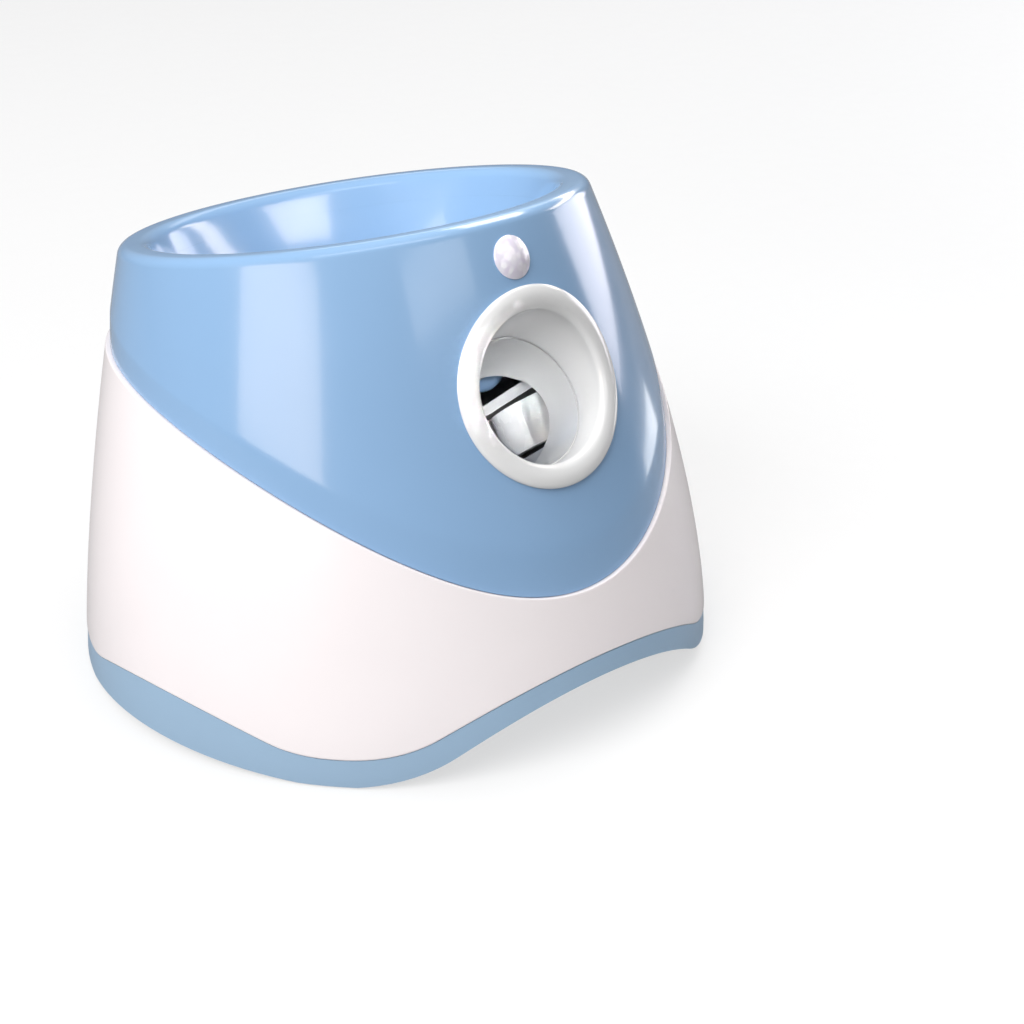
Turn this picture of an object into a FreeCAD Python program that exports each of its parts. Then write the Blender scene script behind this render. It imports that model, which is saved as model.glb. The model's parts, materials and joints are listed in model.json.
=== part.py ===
"""Automatic dog ball launcher.

Millimetres, +Z up, the outlet faces -Y, the origin is on the ground under the middle of the base.
The casing's horizontal sections are ellipses that shrink and move back as (height / crest height) to
a power. The launch unit is drawn in its own frame: X as the casing's, Y back along the barrel and Z
square to it, with its origin between the two flywheels, and is then tilted into the casing.
"""

import FreeCAD, Part
import math
import os
import re

SIZES = [
    # casing
    ("base_half_width", 170.5, "half width of the section at the ground"),
    ("base_half_depth", 158.5, "half depth of the section at the ground"),
    ("top_half_width", 115.5, "half width of the section at the crest"),
    ("top_half_depth", 106.3, "half depth of the section at the crest"),
    ("top_shift", 40.4, "how far the crest section lies behind the ground section"),
    ("base_ahead", 2.7, "how far the ground section lies in front of the origin"),
    ("crest_height", 247, "front of the rim"),
    ("taper_power", 1.5, "how late the taper sets in"),
    ("rim_tilt", 13.7, "degrees, the rim falls to the back"),
    ("rim_width", 15, "from the casing's outside to the bowl's inside"),
    ("rim_outer_round", 6, "fillet on the outside of the rim"),
    ("rim_inner_round", 7, "fillet on the bowl's side of the rim"),
    ("rim_lip", 14, "depth of the rim's inner return"),
    ("bowl_depth", 34, "steep part of the bowl's wall, below the rim"),
    ("bowl_draft", 12, "how far the steep part leans in"),
    ("bowl_power", 1.5, "shape of the floor: 1 is a cone, 2 an ellipse"),
    ("wall", 3, "moulded walls"),
    ("seam", 0.2, "gap between mouldings"),
    ("ground_gap", 1, "from the ground up to the moulded base"),
    # parting line between blue shell and white band, an arc seen from the side
    ("parting_radius", 317, "radius of the parting arc"),
    ("parting_back", 67.5, "centre of the parting arc, behind the middle"),
    ("parting_drop", 155.6, "centre of the parting arc, below the ground"),
    # base: upper edge and arches
    ("trim_height", 15, "upper edge of the base at its feet"),
    ("trim_front_rise", 32, "extra height at the middle of the front"),
    ("trim_front_reach", 125, "half width of the front rise"),
    ("trim_front_radius", 180, "crown of the front rise"),
    ("trim_side_rise", 13.5, "extra height at the sides"),
    ("trim_side_reach", 80, "half length of the side rise"),
    ("trim_side_radius", 170, "crown of the side rise"),
    ("trim_side_front", 24.7, "how far the side rise lies in front of the middle"),
    ("arch_rise", 37, "height of the front arch"),
    ("arch_reach", 134, "half width of the front arch"),
    ("arch_radius", 155, "crown of the front arch"),
    ("arch_back", 98, "the arch ends this far in front of the middle"),
    ("side_arch_rise", 3, "height of the shallow side arches"),
    ("side_arch_reach", 70, "half length of the side arches"),
    ("floor_height", 6, "underside of the floor"),
    # outlet and motion sensor in the front wall
    ("outlet_height", 173.6, "centre of the outlet ring"),
    ("bezel_radius", 48.7, "outside of the ring"),
    ("bezel_proud", 2.5, "how far the ring stands out of the wall"),
    ("lip_radius", 36.9, "inside of the ring"),
    ("sensor_height", 229.4, "centre of the motion sensor's lens"),
    ("lens_radius", 10.6, "the lens where it leaves the wall"),
    ("lens_rise", 4, "height of the lens dome"),
    ("lens_wall", 1.2, "thickness of the lens"),
    # launch unit
    ("launch_angle", 40.5, "degrees above the horizontal"),
    ("ball_radius", 32, "the ball it throws"),
    ("bore_radius", 33, "inside of barrel and seat"),
    ("mouth_depth", 23, "from the outlet ring back to the barrel's mouth"),
    ("wheel_back", 52, "from the mouth back to the wheels' axes"),
    ("barrel_tail", 30, "barrel behind the wheels' axes"),
    ("window_radius", 28.7, "side windows of the barrel"),
    ("window_low", 3, "windows below the barrel's axis"),
    ("wheel_radius", 35, "flywheel over its tread"),
    ("wheel_width", 24, "flywheel and tread"),
    ("wheel_low", 5, "wheels' middle below the barrel's axis"),
    ("squeeze", 3, "how far each wheel presses into the ball"),
    ("tread", 2.5, "thickness of the tread"),
    ("plate_gap", 3, "from the wheel to the plates above and below"),
    ("plate_upper", 5, "upper plate"),
    ("cover_gap", 3, "round the wheels, inside the covers"),
    ("motor_radius", 18, "drive motors"),
    ("motor_length", 50, "drive motors"),
    ("motor_boss", 6.5, "round boss on the motor's face"),
    ("axle_radius", 1.6, "drive motors' shafts"),
    ("axle_play", 0.05, "radial, shafts in their bearings"),
    ("seat_back", 62, "from the wheels' axes back to the resting ball"),
    # drop column, pusher arm and its gears
    ("column_radius", 35, "inside of the drop column and throat"),
    ("throat_height", 132, "top of the drop column, where the bowl begins"),
    ("pivot_rise", 60, "arm's pivot above the barrel's axis"),
    ("pivot_back", 73.5, "arm's pivot behind the wheels' axes"),
    ("pad_radius", 15, "pad that pushes the ball"),
    ("pad_thick", 4, "pad that pushes the ball"),
    ("arm_width", 12, "arm of the pusher"),
    ("pin_radius", 3, "arm's pivot shaft and the geared motor's shaft"),
    ("tooth_module", 1.5, "gear teeth"),
    ("arm_teeth", 32, "teeth on the arm's gear if it went all round"),
    ("pinion_teeth", 12, "teeth on the pinion"),
    ("gear_width", 6, "the arm's gear"),
    ("ear_inside", 18, "inner faces of the ears that hold the pivot"),
    ("ear_thick", 3, "the ears"),
    ("gearbox_radius", 18.5, "geared motor"),
    ("gearbox_length", 22, "geared motor"),
    ("feed_motor_radius", 14, "geared motor"),
    ("feed_motor_length", 32, "geared motor"),
    # rear: batteries, panel
    ("cell_radius", 12.9, "C cells"),
    ("cell_length", 49, "C cells"),
    ("box_front", 44, "front of the battery box, behind the middle"),
    ("door_thick", 2.5, "battery door"),
    ("panel_half_width", 42, "control panel"),
    ("panel_low", 70, "lower edge of the control panel"),
    ("panel_high", 114, "upper edge of the control panel"),
    ("button_radius", 8, "both buttons"),
    ("button_side", 21, "buttons from the middle"),
    ("button_height", 98, "buttons above the ground"),
    ("jack_radius", 5.5, "power jack"),
    ("jack_height", 80, "power jack above the ground"),
    ("foot_radius", 8, "rubber feet"),
    ("foot_inset", 52, "front feet from the base's outside"),
    ("post_radius", 5.5, "screw posts"),
    ("post_from_front", 47, "front screw posts from the base's outside"),
    ("front_post_side", 47, "front screw posts from the middle"),
    ("post_from_side", 52, "side screw posts from the base's outside"),
    ("side_post_back", 44, "side screw posts behind the middle"),
    ("case_post_top", 52, "joint of the screw posts between base and band"),
    ("screw_radius", 1.5, "tapping screws"),
    ("screw_head", 3, "tapping screws' heads"),
    ("bolt_radius", 2, "case screws"),
    ("bolt_head", 3.8, "case screws' heads"),
]

PLACES = [
    ("depth_taper", "base_half_depth - top_half_depth"),
    ("front_post_back", "base_half_depth - post_from_front"),
    ("front_post_top", "sqrt(parting_radius ^ 2 - (front_post_back + parting_back + 19) ^ 2) - parting_drop - 3"),
    ("side_post_side", "base_half_width - post_from_side"),
    ("side_post_top", "sqrt(parting_radius ^ 2 - (parting_back - side_post_back) ^ 2) - parting_drop - 3"),
    ("case_post_side", "base_half_width - post_from_side - 6"),
    ("case_post_front", "base_half_depth - 80"),
    ("case_post_back", "base_half_depth - 68"),
    ("foot_front_side", "base_half_width - foot_inset"),
    ("foot_back_side", "base_half_width - foot_inset + 6"),
    ("foot_front", "base_half_depth - 78"),
    ("foot_back", "base_half_depth - 92"),
    ("board_side", "base_half_width - 44"),
    ("speaker_side", "base_half_width - 75"),
    ("outlet_taper", "(outlet_height / crest_height) ^ taper_power"),
    ("outlet_y", "top_shift * outlet_taper - base_ahead - base_half_depth + depth_taper * outlet_taper"),
    ("outlet_lean", "atan((top_shift + depth_taper) * taper_power * outlet_taper / outlet_height) / 1 deg"),
    ("sensor_taper", "(sensor_height / crest_height) ^ taper_power"),
    ("sensor_y", "top_shift * sensor_taper - base_ahead - base_half_depth + depth_taper * sensor_taper"),
    ("sensor_lean", "atan((top_shift + depth_taper) * taper_power * sensor_taper / sensor_height) / 1 deg"),
    ("rim_front", "top_shift - base_ahead - top_half_depth"),
    ("rim_back_a", "top_shift - base_ahead + top_half_depth"),
    ("rim_drop_a", "1 - tan(rim_tilt) * (rim_back_a - rim_front) / crest_height"),
    ("rim_back_b", "base_half_depth - base_ahead + (top_shift - depth_taper) * rim_drop_a ^ taper_power"),
    ("rim_drop_b", "1 - tan(rim_tilt) * (rim_back_b - rim_front) / crest_height"),
    ("rim_back_c", "base_half_depth - base_ahead + (top_shift - depth_taper) * rim_drop_b ^ taper_power"),
    ("rim_middle_y", "(rim_front + rim_back_c) / 2"),
    ("rim_middle_z", "crest_height - tan(rim_tilt) * (rim_middle_y - rim_front)"),
    ("rim_half_length", "(rim_back_c - rim_front) / 2 / cos(rim_tilt)"),
    ("rim_half_width", "base_half_width - (base_half_width - top_half_width) * (rim_middle_z / crest_height) ^ taper_power"),
    ("knee_y", "rim_middle_y - bowl_depth * sin(rim_tilt)"),
    ("knee_z", "rim_middle_z - bowl_depth * cos(rim_tilt)"),
    ("launch_cos", "cos(launch_angle)"),
    ("launch_sin", "sin(launch_angle)"),
    ("wheel_y", "outlet_y + (mouth_depth + wheel_back) * launch_cos"),
    ("wheel_z", "outlet_height - (mouth_depth + wheel_back) * launch_sin"),
    ("seat_y", "wheel_y + seat_back * launch_cos"),
    ("seat_z", "wheel_z - seat_back * launch_sin"),
    ("wheel_side", "ball_radius - squeeze + wheel_radius"),
    ("barrel_radius", "bore_radius + wall"),
    ("column_outside", "column_radius + wall"),
    ("throat_radius", "column_radius + 1"),
    ("plate_low", "-wheel_low - wheel_width / 2 - plate_gap"),
    ("plate_high", "-wheel_low + wheel_width / 2 + plate_gap"),
    ("cover_radius", "wheel_radius + cover_gap + wall"),
    ("cheek_side", "barrel_radius + 4"),
    ("chute_back", "seat_back + bore_radius + pad_thick"),
    ("pivot_y", "wheel_y + pivot_back * launch_cos + pivot_rise * launch_sin"),
    ("pivot_z", "wheel_z - pivot_back * launch_sin + pivot_rise * launch_cos"),
    ("gear_distance", "tooth_module * (arm_teeth + pinion_teeth) / 2"),
    ("pinion_y", "pivot_y + gear_distance * launch_cos"),
    ("pinion_z", "pivot_z - gear_distance * launch_sin"),
    ("ear_outside", "ear_inside + ear_thick"),
    ("floor_top", "floor_height + wall"),
    ("box_half_width", "cell_length + 4"),
    ("box_back", "box_front + 6 * cell_radius + 8"),
    ("box_top", "floor_top + 2 * cell_radius + 5"),
    ("panel_taper", "(button_height / crest_height) ^ taper_power"),
    ("panel_y", "top_shift * panel_taper - base_ahead + base_half_depth - depth_taper * panel_taper"),
]

FAR = 400            # reaches past the whole casing
LEVELS = [0, 0.12, 0.26, 0.42, 0.58, 0.74, 0.9, 1.06]
SIDES = (("left", -1), ("right", 1))

document = FreeCAD.newDocument("ball_launcher")
sheet = document.addObject("Spreadsheet::Sheet", "sizes")
for row, (alias, value, meaning) in enumerate(SIZES, start=1):
    sheet.set(f"A{row}", alias)
    sheet.set(f"B{row}", str(value))
    sheet.set(f"C{row}", meaning)
    sheet.setAlias(f"B{row}", alias)
document.recompute()
places = document.addObject("App::VarSet", "places")
OWNER = {alias: "sizes" for alias, _, _ in SIZES}
NODES = {}


def formula(text):
    """Adds the owning object's name to each size or place named in an expression."""
    return re.sub(
        r"[a-z][a-z_]*[a-z]",
        lambda found: f"{OWNER[found.group()]}.{found.group()}" if found.group() in OWNER else found.group(),
        str(text),
    )


for place, text in PLACES:
    places.addProperty("App::PropertyFloat", place)
    places.setExpression(place, formula(text))
    OWNER[place] = "places"
document.recompute()


def value(name):
    """The present number of a size or place."""
    return float(sheet.get(name)) if OWNER[name] == "sizes" else float(getattr(places, name))


def bind(thing, **expressions):
    for prop, text in expressions.items():
        thing.setExpression(prop.replace("__", "."), formula(text))
    return thing


def at(thing, x=0, y=0, z=0):
    return bind(thing, Placement__Base__x=x, Placement__Base__y=y, Placement__Base__z=z)


def add(kind, name):
    return document.addObject(kind, name)


def box(name, x_low, x_high, y_low, y_high, z_low, z_high):
    block = bind(
        add("Part::Box", name),
        Length=f"({x_high}) - ({x_low})",
        Width=f"({y_high}) - ({y_low})",
        Height=f"({z_high}) - ({z_low})",
    )
    return at(block, x_low, y_low, z_low)


AXES = {
    "X": FreeCAD.Rotation(FreeCAD.Vector(0, 1, 0), 90),
    "Y": FreeCAD.Rotation(FreeCAD.Vector(1, 0, 0), -90),
    "Z": FreeCAD.Rotation(),
}


def rod(name, axis, radius, length, x=0, y=0, z=0):
    """A cylinder that starts at x, y, z and runs along +axis."""
    bar = bind(add("Part::Cylinder", name), Radius=radius, Height=length)
    bar.Placement = FreeCAD.Placement(FreeCAD.Vector(), AXES[axis])
    return at(bar, x, y, z)


def ball(name, radius, x=0, y=0, z=0):
    return at(bind(add("Part::Sphere", name), Radius=radius), x, y, z)


def fuse(name, *shapes):
    whole = add("Part::MultiFuse", name)
    whole.Shapes = list(shapes)
    whole.Refine = True
    return whole


def common(name, *shapes):
    shared = add("Part::MultiCommon", name)
    shared.Shapes = list(shapes)
    return shared


def cut(name, base, *tools):
    for count, tool in enumerate(tools):
        step = add("Part::Cut", name if count == len(tools) - 1 else f"{name}_step")
        step.Base = base
        step.Tool = tool
        base = step
    return base


def group(name, *shapes):
    held = add("Part::Compound", name)
    held.Links = list(shapes)
    return held


def tilted(name, shape, angle, y, z, x=0):
    """The shape turned top-forwards about X by an angle in degrees, its origin then put at x, y, z."""
    held = group(name, shape)
    held.Placement = FreeCAD.Placement(
        FreeCAD.Vector(), FreeCAD.Rotation(FreeCAD.Vector(-1, 0, 0), 1)
    )
    return at(bind(held, Placement__Rotation__Angle=angle), x, y, z)


def launched(name, shape):
    """A shape drawn in the launch frame, put into the casing."""
    return tilted(name, shape, "launch_angle", "wheel_y", "wheel_z")


def node(name, shape):
    NODES[name] = shape
    shape.Label = name
    return shape


def section(name, fraction, inset):
    """One horizontal ellipse of the casing; the longer radius may be across or along."""
    taper = f"({fraction} ^ taper_power)"
    wide = f"(base_half_width - (base_half_width - top_half_width) * {taper} - ({inset}))"
    deep = f"(base_half_depth - (base_half_depth - top_half_depth) * {taper} - ({inset}))"
    return oval(name, wide, deep, f"top_shift * {taper} - base_ahead", f"crest_height * {fraction}")


def oval(name, wide, deep, y, z):
    ring = bind(
        add("Part::Ellipse", name),
        MajorRadius=f"max({wide}; {deep})",
        MinorRadius=f"min({wide}; {deep})",
    )
    ring.Placement = FreeCAD.Placement(
        FreeCAD.Vector(), FreeCAD.Rotation(FreeCAD.Vector(0, 0, 1), 1)
    )
    bind(ring, Placement__Rotation__Angle="base_half_depth > base_half_width ? 90 : 0")
    return at(ring, 0, y, z)


def loft(name, rings):
    body = add("Part::Loft", name)
    body.Sections = rings
    body.Solid = True
    body.Ruled = False
    return body


def skin(name, inset):
    return loft(name, [section(f"{name}_{i}", f, inset) for i, f in enumerate(LEVELS)])


def arched(name, axis, rise, reach, radius, base, low, high):
    """A bar along the axis whose section is a hump: a crown arc that runs out into the flat at height
    base through two arcs of the opposite bend. The bar goes from low to high along the axis."""
    foot = f"(({reach}) ^ 2 / ({rise}) + ({rise})) / 2 - ({radius})"
    span = f"({high}) - ({low})"
    ends = [(f"{name}_crown", radius, "0", f"({base}) + ({rise}) - ({radius})")]
    ends += [(f"{name}_{side}", foot, f"{sign} * ({reach})", f"({base}) + {foot}") for side, sign in SIDES]
    rods = []
    for part, r, across, up in ends:
        spot = {"x": across, "y": low} if axis == "Y" else {"x": low, "y": across}
        rods.append(rod(part, axis, r, span, z=up, **spot))
    slab_high = f"({base}) + ({rise}) * ({foot}) / (({foot}) + ({radius}))"
    if axis == "Y":
        slab = box(f"{name}_slab", f"-({reach})", reach, low, high, -FAR, slab_high)
    else:
        slab = box(f"{name}_slab", low, high, f"-({reach})", reach, -FAR, slab_high)
    return fuse(name, rods[0], cut(f"{name}_foot", slab, rods[1], rods[2]))


# ---------------------------------------------------------------- casing

outside = skin("outside", "0")
inside = skin("inside", "wall")
wall_middle = skin("wall_middle", "wall / 2")
above_rim = tilted("above_rim", box("rim_block", -FAR, FAR, -FAR, FAR, 0, FAR), "rim_tilt", "rim_front", "crest_height")
above_hollow = tilted(
    "above_hollow", box("hollow_block", -FAR, FAR, -FAR, FAR, "-wall", FAR), "rim_tilt", "rim_front", "crest_height"
)
above_lip = tilted(
    "above_lip", box("lip_block", -FAR, FAR, -FAR, FAR, "-rim_lip", FAR), "rim_tilt", "rim_front", "crest_height"
)
parting = rod("parting", "X", "parting_radius", 2 * FAR, -FAR, "parting_back", "-parting_drop")
below_trim = fuse(
    "below_trim",
    box("trim_flat", -FAR, FAR, -FAR, FAR, -FAR, "trim_height"),
    arched("trim_front", "Y", "trim_front_rise", "trim_front_reach", "trim_front_radius", "trim_height", -FAR,
           "-base_half_depth / 3"),
    at(group("trim_sides", arched("trim_side", "X", "trim_side_rise", "trim_side_reach", "trim_side_radius",
                                  "trim_height", -FAR, FAR)), y="-trim_side_front"),
)


def bowl_ring(name, share, grow):
    """One tilted ellipse of the funnel. Share runs from 0 at the throat to 1 where the steep walls begin
    under the rim; the width follows a quarter of a superellipse, so the floor is shallow."""
    spread = f"((1 - (1 - {share}) ^ bowl_power) ^ (1 / bowl_power))"
    wide = f"throat_radius + 0.01 + (rim_half_width - rim_width - bowl_draft - throat_radius) * {spread} + ({grow})"
    deep = f"throat_radius + (rim_half_length - rim_width - bowl_draft - throat_radius) * {spread} + ({grow})"
    flat = oval(name, f"({wide})", f"({deep})", 0, 0)
    return tilted(f"{name}_tilted", flat, f"rim_tilt * {share}", f"seat_y + (knee_y - seat_y) * {spread}",
                  f"throat_height + (knee_z - throat_height) * {share} - ({grow}) * (1 - {share})")


def bowl_skin(name, grow):
    """The funnel: steep walls under the rim, and a floor that slopes in to the throat."""
    rings = [bowl_ring(f"{name}_{i}", share, grow) for i, share in enumerate((0, 0.04, 0.12, 0.25, 0.42, 0.62, 0.82, 1))]
    above = oval(f"{name}_above", f"(rim_half_width - rim_width + bowl_draft / 2 + ({grow}))",
                 f"(rim_half_length - rim_width + bowl_draft / 2 + ({grow}))", 0, "bowl_depth / 2")
    rings.append(tilted(f"{name}_top", above, "rim_tilt", "rim_middle_y", "rim_middle_z"))
    body = loft(name, rings)
    body.Ruled = True
    return body


bowl_inside = bowl_skin("bowl_inside", "0")
bowl_outside = bowl_skin("bowl_outside", "wall")

outlet_hole = tilted(
    "outlet_hole", rod("outlet_rod", "Y", "lip_radius + wall + 1.8", 60, 0, -30), "outlet_lean", "outlet_y", "outlet_height"
)
sensor_hole = tilted(
    "sensor_hole", rod("sensor_rod", "Y", "lens_radius + seam", 40, 0, -20), "sensor_lean", "sensor_y", "sensor_height"
)

rim_block = cut("rim_solid", cut("casing_solid", outside, above_rim), bowl_inside)
hollow = cut("hollow", inside, above_hollow, common("lip_plug", bowl_outside, above_lip))


def at_rim(edge):
    """Whether an edge of the rim block lies in the tilted rim plane, and on which side."""
    tilt = math.tan(math.radians(value("rim_tilt")))
    plane = [v.Point.z - value("crest_height") + tilt * (v.Point.y - value("rim_front")) for v in edge.Vertexes]
    middle = edge.valueAt((edge.FirstParameter + edge.LastParameter) / 2)
    plane.append(middle.z - value("crest_height") + tilt * (middle.y - value("rim_front")))
    return max(abs(off) for off in plane) < 0.5


document.recompute()
rounded = add("Part::Fillet", "rim_rounded")
rounded.Base = rim_block
rim_edges = [(i + 1, edge) for i, edge in enumerate(rim_block.Shape.Edges) if at_rim(edge)]
longest = max(edge.BoundBox.XLength for _, edge in rim_edges)
on_outside = {i: edge.BoundBox.XLength > longest - 4 for i, edge in rim_edges}
narrowest = min(a.distToShape(b)[0] for i, a in rim_edges for j, b in rim_edges if on_outside[i] and not on_outside[j])
outer_round = min(value("rim_outer_round"), 0.45 * narrowest)
inner_round = min(value("rim_inner_round"), 0.5 * narrowest)
rounded.Edges = [(i, r, r) for i, _ in rim_edges for r in [outer_round if on_outside[i] else inner_round]]

FRAME_SCREWS = [(side, y) for _, side in SIDES for y in ("-72", "20")]
# a post's side, its distance from the middle, its place along Y, its joint's height and its rib's direction
SHELL_POSTS = [(side, "front_post_side", "-front_post_back", "front_post_top", "front") for _, side in SIDES]
SHELL_POSTS += [(side, "side_post_side", "side_post_back", "side_post_top", "side") for _, side in SIDES]
CASE_POSTS = [(side, "case_post_side", y, "case_post_top", "side") for _, side in SIDES
              for y in ("-case_post_front", "case_post_back")]


def posts(name, spots, low, high):
    """Screw posts, each with a rib that runs out to the wall."""
    made = []
    for i, (side, x, y, z, way) in enumerate(spots):
        made.append(rod(f"{name}_{i}", "Z", "post_radius", high - low, f"{side} * {x}", y, f"{z} + {low}"))
        if way == "front":
            span = (f"{side} * {x} - 1.5", f"{side} * {x} + 1.5", f"{y} - 40", y)
        else:
            span = (x, f"{x} + 40") if side > 0 else (f"-{x} - 40", f"-{x}")
            span += (f"{y} - 1.5", f"{y} + 1.5")
        made.append(box(f"{name}_rib{i}", *span, f"{z} + {low}", f"{z} + {high}"))
    return common(name, fuse(f"{name}_all", *made), wall_middle)


def post_rods(name, spots, low, high, radius):
    return fuse(name, *[
        rod(f"{name}_{i}", "Z", radius, f"({high}) - ({low})", f"{side} * {x}", y, f"{z} + ({low})")
        for i, (side, x, y, z, _) in enumerate(spots)
    ])


band_wall = common("band_wall", cut("casing_wall", outside, inside), parting)
upper_raw = cut("upper_raw", rounded, hollow, parting, outlet_hole, sensor_hole)
node("upper_shell", cut("upper_shell", fuse(
    "upper_posted", upper_raw, cut("shell_posts_clear", posts("shell_posts", SHELL_POSTS, 0.1, 14), band_wall)),
                        post_rods("shell_pilots", SHELL_POSTS, 0, 12, "bolt_radius + 0.02")))

barrel_space = rod("barrel_space", "Y", "barrel_radius + 0.4", 2 * FAR, 0, -FAR)
hump = launched("hump", rod("hump_rod", "Y", "barrel_radius + 0.4 + wall", "wheel_back + barrel_tail - 6", 0, "6 - wheel_back"))
collar = rod("collar", "Z", "column_radius + wall", 5, 0, "seat_y", "throat_height - 4")
throat_bore = rod("throat_bore", "Z", "column_radius", FAR, 0, "seat_y", "throat_height - 20")
node("hopper_bowl", cut(
    "hopper_bowl", fuse("bowl_block", cut("bowl_trimmed", bowl_outside, above_lip), collar),
    cut("bowl_room", bowl_inside, hump), launched("barrel_clear", barrel_space), throat_bore))

panel_zone = box("panel_zone", "-panel_half_width", "panel_half_width", 0, FAR, "panel_low", "panel_high")
panel_cut = box("panel_cut", "-panel_half_width - seam", "panel_half_width + seam", 0, FAR, "panel_low - seam",
                "panel_high + seam")
band_raw = cut("band_raw", band_wall, below_trim, panel_cut)
band_posts = fuse("band_posts_all", posts("band_posts", SHELL_POSTS, -14, -0.1), posts("band_feet", CASE_POSTS, 0.1, 16))
node("mid_band", cut("mid_band", fuse("band_posted", band_raw, band_posts),
                     post_rods("band_bores", SHELL_POSTS, -15, 0, "bolt_radius + 0.3"),
                     post_rods("band_pilots", CASE_POSTS, 0, 15, "bolt_radius + 0.02")))

arch_cut = arched("arch", "Y", "arch_rise", "arch_reach", "arch_radius", "0", -FAR, "-arch_back")
arch_liner = common(
    "arch_liner",
    arched("liner", "Y", "arch_rise + wall", "arch_reach", "arch_radius + wall", "0", -FAR, "wall - arch_back"),
    outside,
)
below_base = fuse(
    "below_base",
    box("ground_cut", -FAR, FAR, -FAR, FAR, -FAR, "ground_gap"),
    rod("side_arch", "X", "side_arch_reach ^ 2 / side_arch_rise / 2", 2 * FAR, -FAR, "-trim_side_front",
        "ground_gap + side_arch_rise - side_arch_reach ^ 2 / side_arch_rise / 2"),
)
base_skirt = common("base_skirt", cut("skirt_wall", outside, inside), below_trim)
base_floor = common("base_floor", inside, box("floor_slab", -FAR, FAR, -FAR, FAR, "floor_height", "floor_top"))
door_hole = box("door_hole", "-box_half_width + 5", "box_half_width - 5", "box_front + 5", "box_back - 5", 0, 20)
rails = [
    box(f"rail_{side}_{part}", *sorted_span, "box_front - 2", "box_front + 40", low, high)
    for side, sign in SIDES
    for part, near, far, low, high in (("web", 0.3, 3, 1.4, "floor_height"), ("lip", -4, 3, 1.4, 2.8))
    for sorted_span in [
        (f"box_half_width + {near}", f"box_half_width + {far}")
        if sign > 0
        else (f"-box_half_width - {far}", f"-box_half_width - {near}")
    ]
]
FEET = [(f"{side} * {x}", y) for _, side in SIDES
        for x, y in (("foot_front_side", "-foot_front"), ("foot_back_side", "foot_back"))]
foot_cups = [rod(f"cup_{i}", "Z", "foot_radius + 2", "floor_height - 0.9", x, y, "ground_gap") for i, (x, y) in enumerate(FEET)]
foot_wells = [rod(f"well_{i}", "Z", "foot_radius + seam", 3.2, x, y, 0) for i, (x, y) in enumerate(FEET)]
case_sleeves = post_rods("case_sleeves", CASE_POSTS, "floor_height - case_post_top", -0.1, "post_radius + 0.5")
case_bores = post_rods("case_bores", CASE_POSTS, "-case_post_top", 2, "bolt_radius + 0.3")
case_sinks = post_rods("case_sinks", CASE_POSTS, "-case_post_top", -8, "bolt_head + 0.4")
tray_solid = fuse("tray_solid", base_skirt, base_floor, arch_liner, *rails, *foot_cups, case_sleeves)
SPEAKER = ("speaker_side", 56)
speaker_slots = [
    box(f"sound_{i}", "speaker_side - 12", "speaker_side + 12", f"{SPEAKER[1] + 6 * i - 1}", f"{SPEAKER[1] + 6 * i + 1}", 0, 20)
    for i in (-2, -1, 0, 1, 2)
]
node("base_tray", cut("base_tray", tray_solid, arch_cut, below_base, door_hole,
                      group("tray_holes", *foot_wells, *speaker_slots, *[
                          rod(f"floor_pilot_{i}", "Z", "screw_radius + 0.02", 20, f"{side} * (cheek_side + 10)", y, 0)
                          for i, (side, y) in enumerate(FRAME_SCREWS)]), case_bores, case_sinks))
node("rubber_feet", group("rubber_feet", *[rod(f"foot_{i}", "Z", "foot_radius", 3.1, x, y, 0) for i, (x, y) in enumerate(FEET)]))

# ---------------------------------------------------------------- outlet ring, duct and motion sensor

proud = skin("proud", "-bezel_proud")
ring_zone = tilted("ring_zone", rod("ring_rod", "Y", "bezel_radius", 50, 0, -30), "outlet_lean", "outlet_y", "outlet_height")
ring_front = cut("ring_front", ring_zone, outside)


def circle(name, radius, angle, y, z):
    hoop = bind(add("Part::Circle", name), Radius=radius)
    hoop.Placement = FreeCAD.Placement(FreeCAD.Vector(), AXES["Y"])
    return tilted(f"{name}_tilted", hoop, angle, y, z)


def duct(name, lip, tail, depth):
    """From the lip in the wall down to the barrel, and straight out in front of the lip."""
    rings = [
        circle(f"{name}_lip", lip, "outlet_lean", "outlet_y", "outlet_height"),
        circle(f"{name}_tail", tail, "launch_angle", f"outlet_y + ({depth}) * launch_cos",
               f"outlet_height - ({depth}) * launch_sin"),
    ]
    front = tilted(f"{name}_front", rod(f"{name}_rod", "Y", lip, 20, 0, -20), "outlet_lean", "outlet_y", "outlet_height")
    return fuse(name, loft(f"{name}_loft", rings), front)


duct_outside = duct("duct_outside", "lip_radius + wall", "barrel_radius + 0.3 + wall", "mouth_depth + 3.5")
node("outlet_bezel", cut("outlet_bezel", common("bezel_block", proud, fuse("bezel_solid", ring_front, duct_outside)),
                         duct("duct_inside", "lip_radius", "bore_radius + 0.4", "mouth_depth - 0.2"),
                         launched("barrel_room", rod("barrel_room_rod", "Y", "barrel_radius + 0.3", "barrel_tail + wheel_back + 1",
                                                     0, "-wheel_back - 0.3"))))

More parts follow.
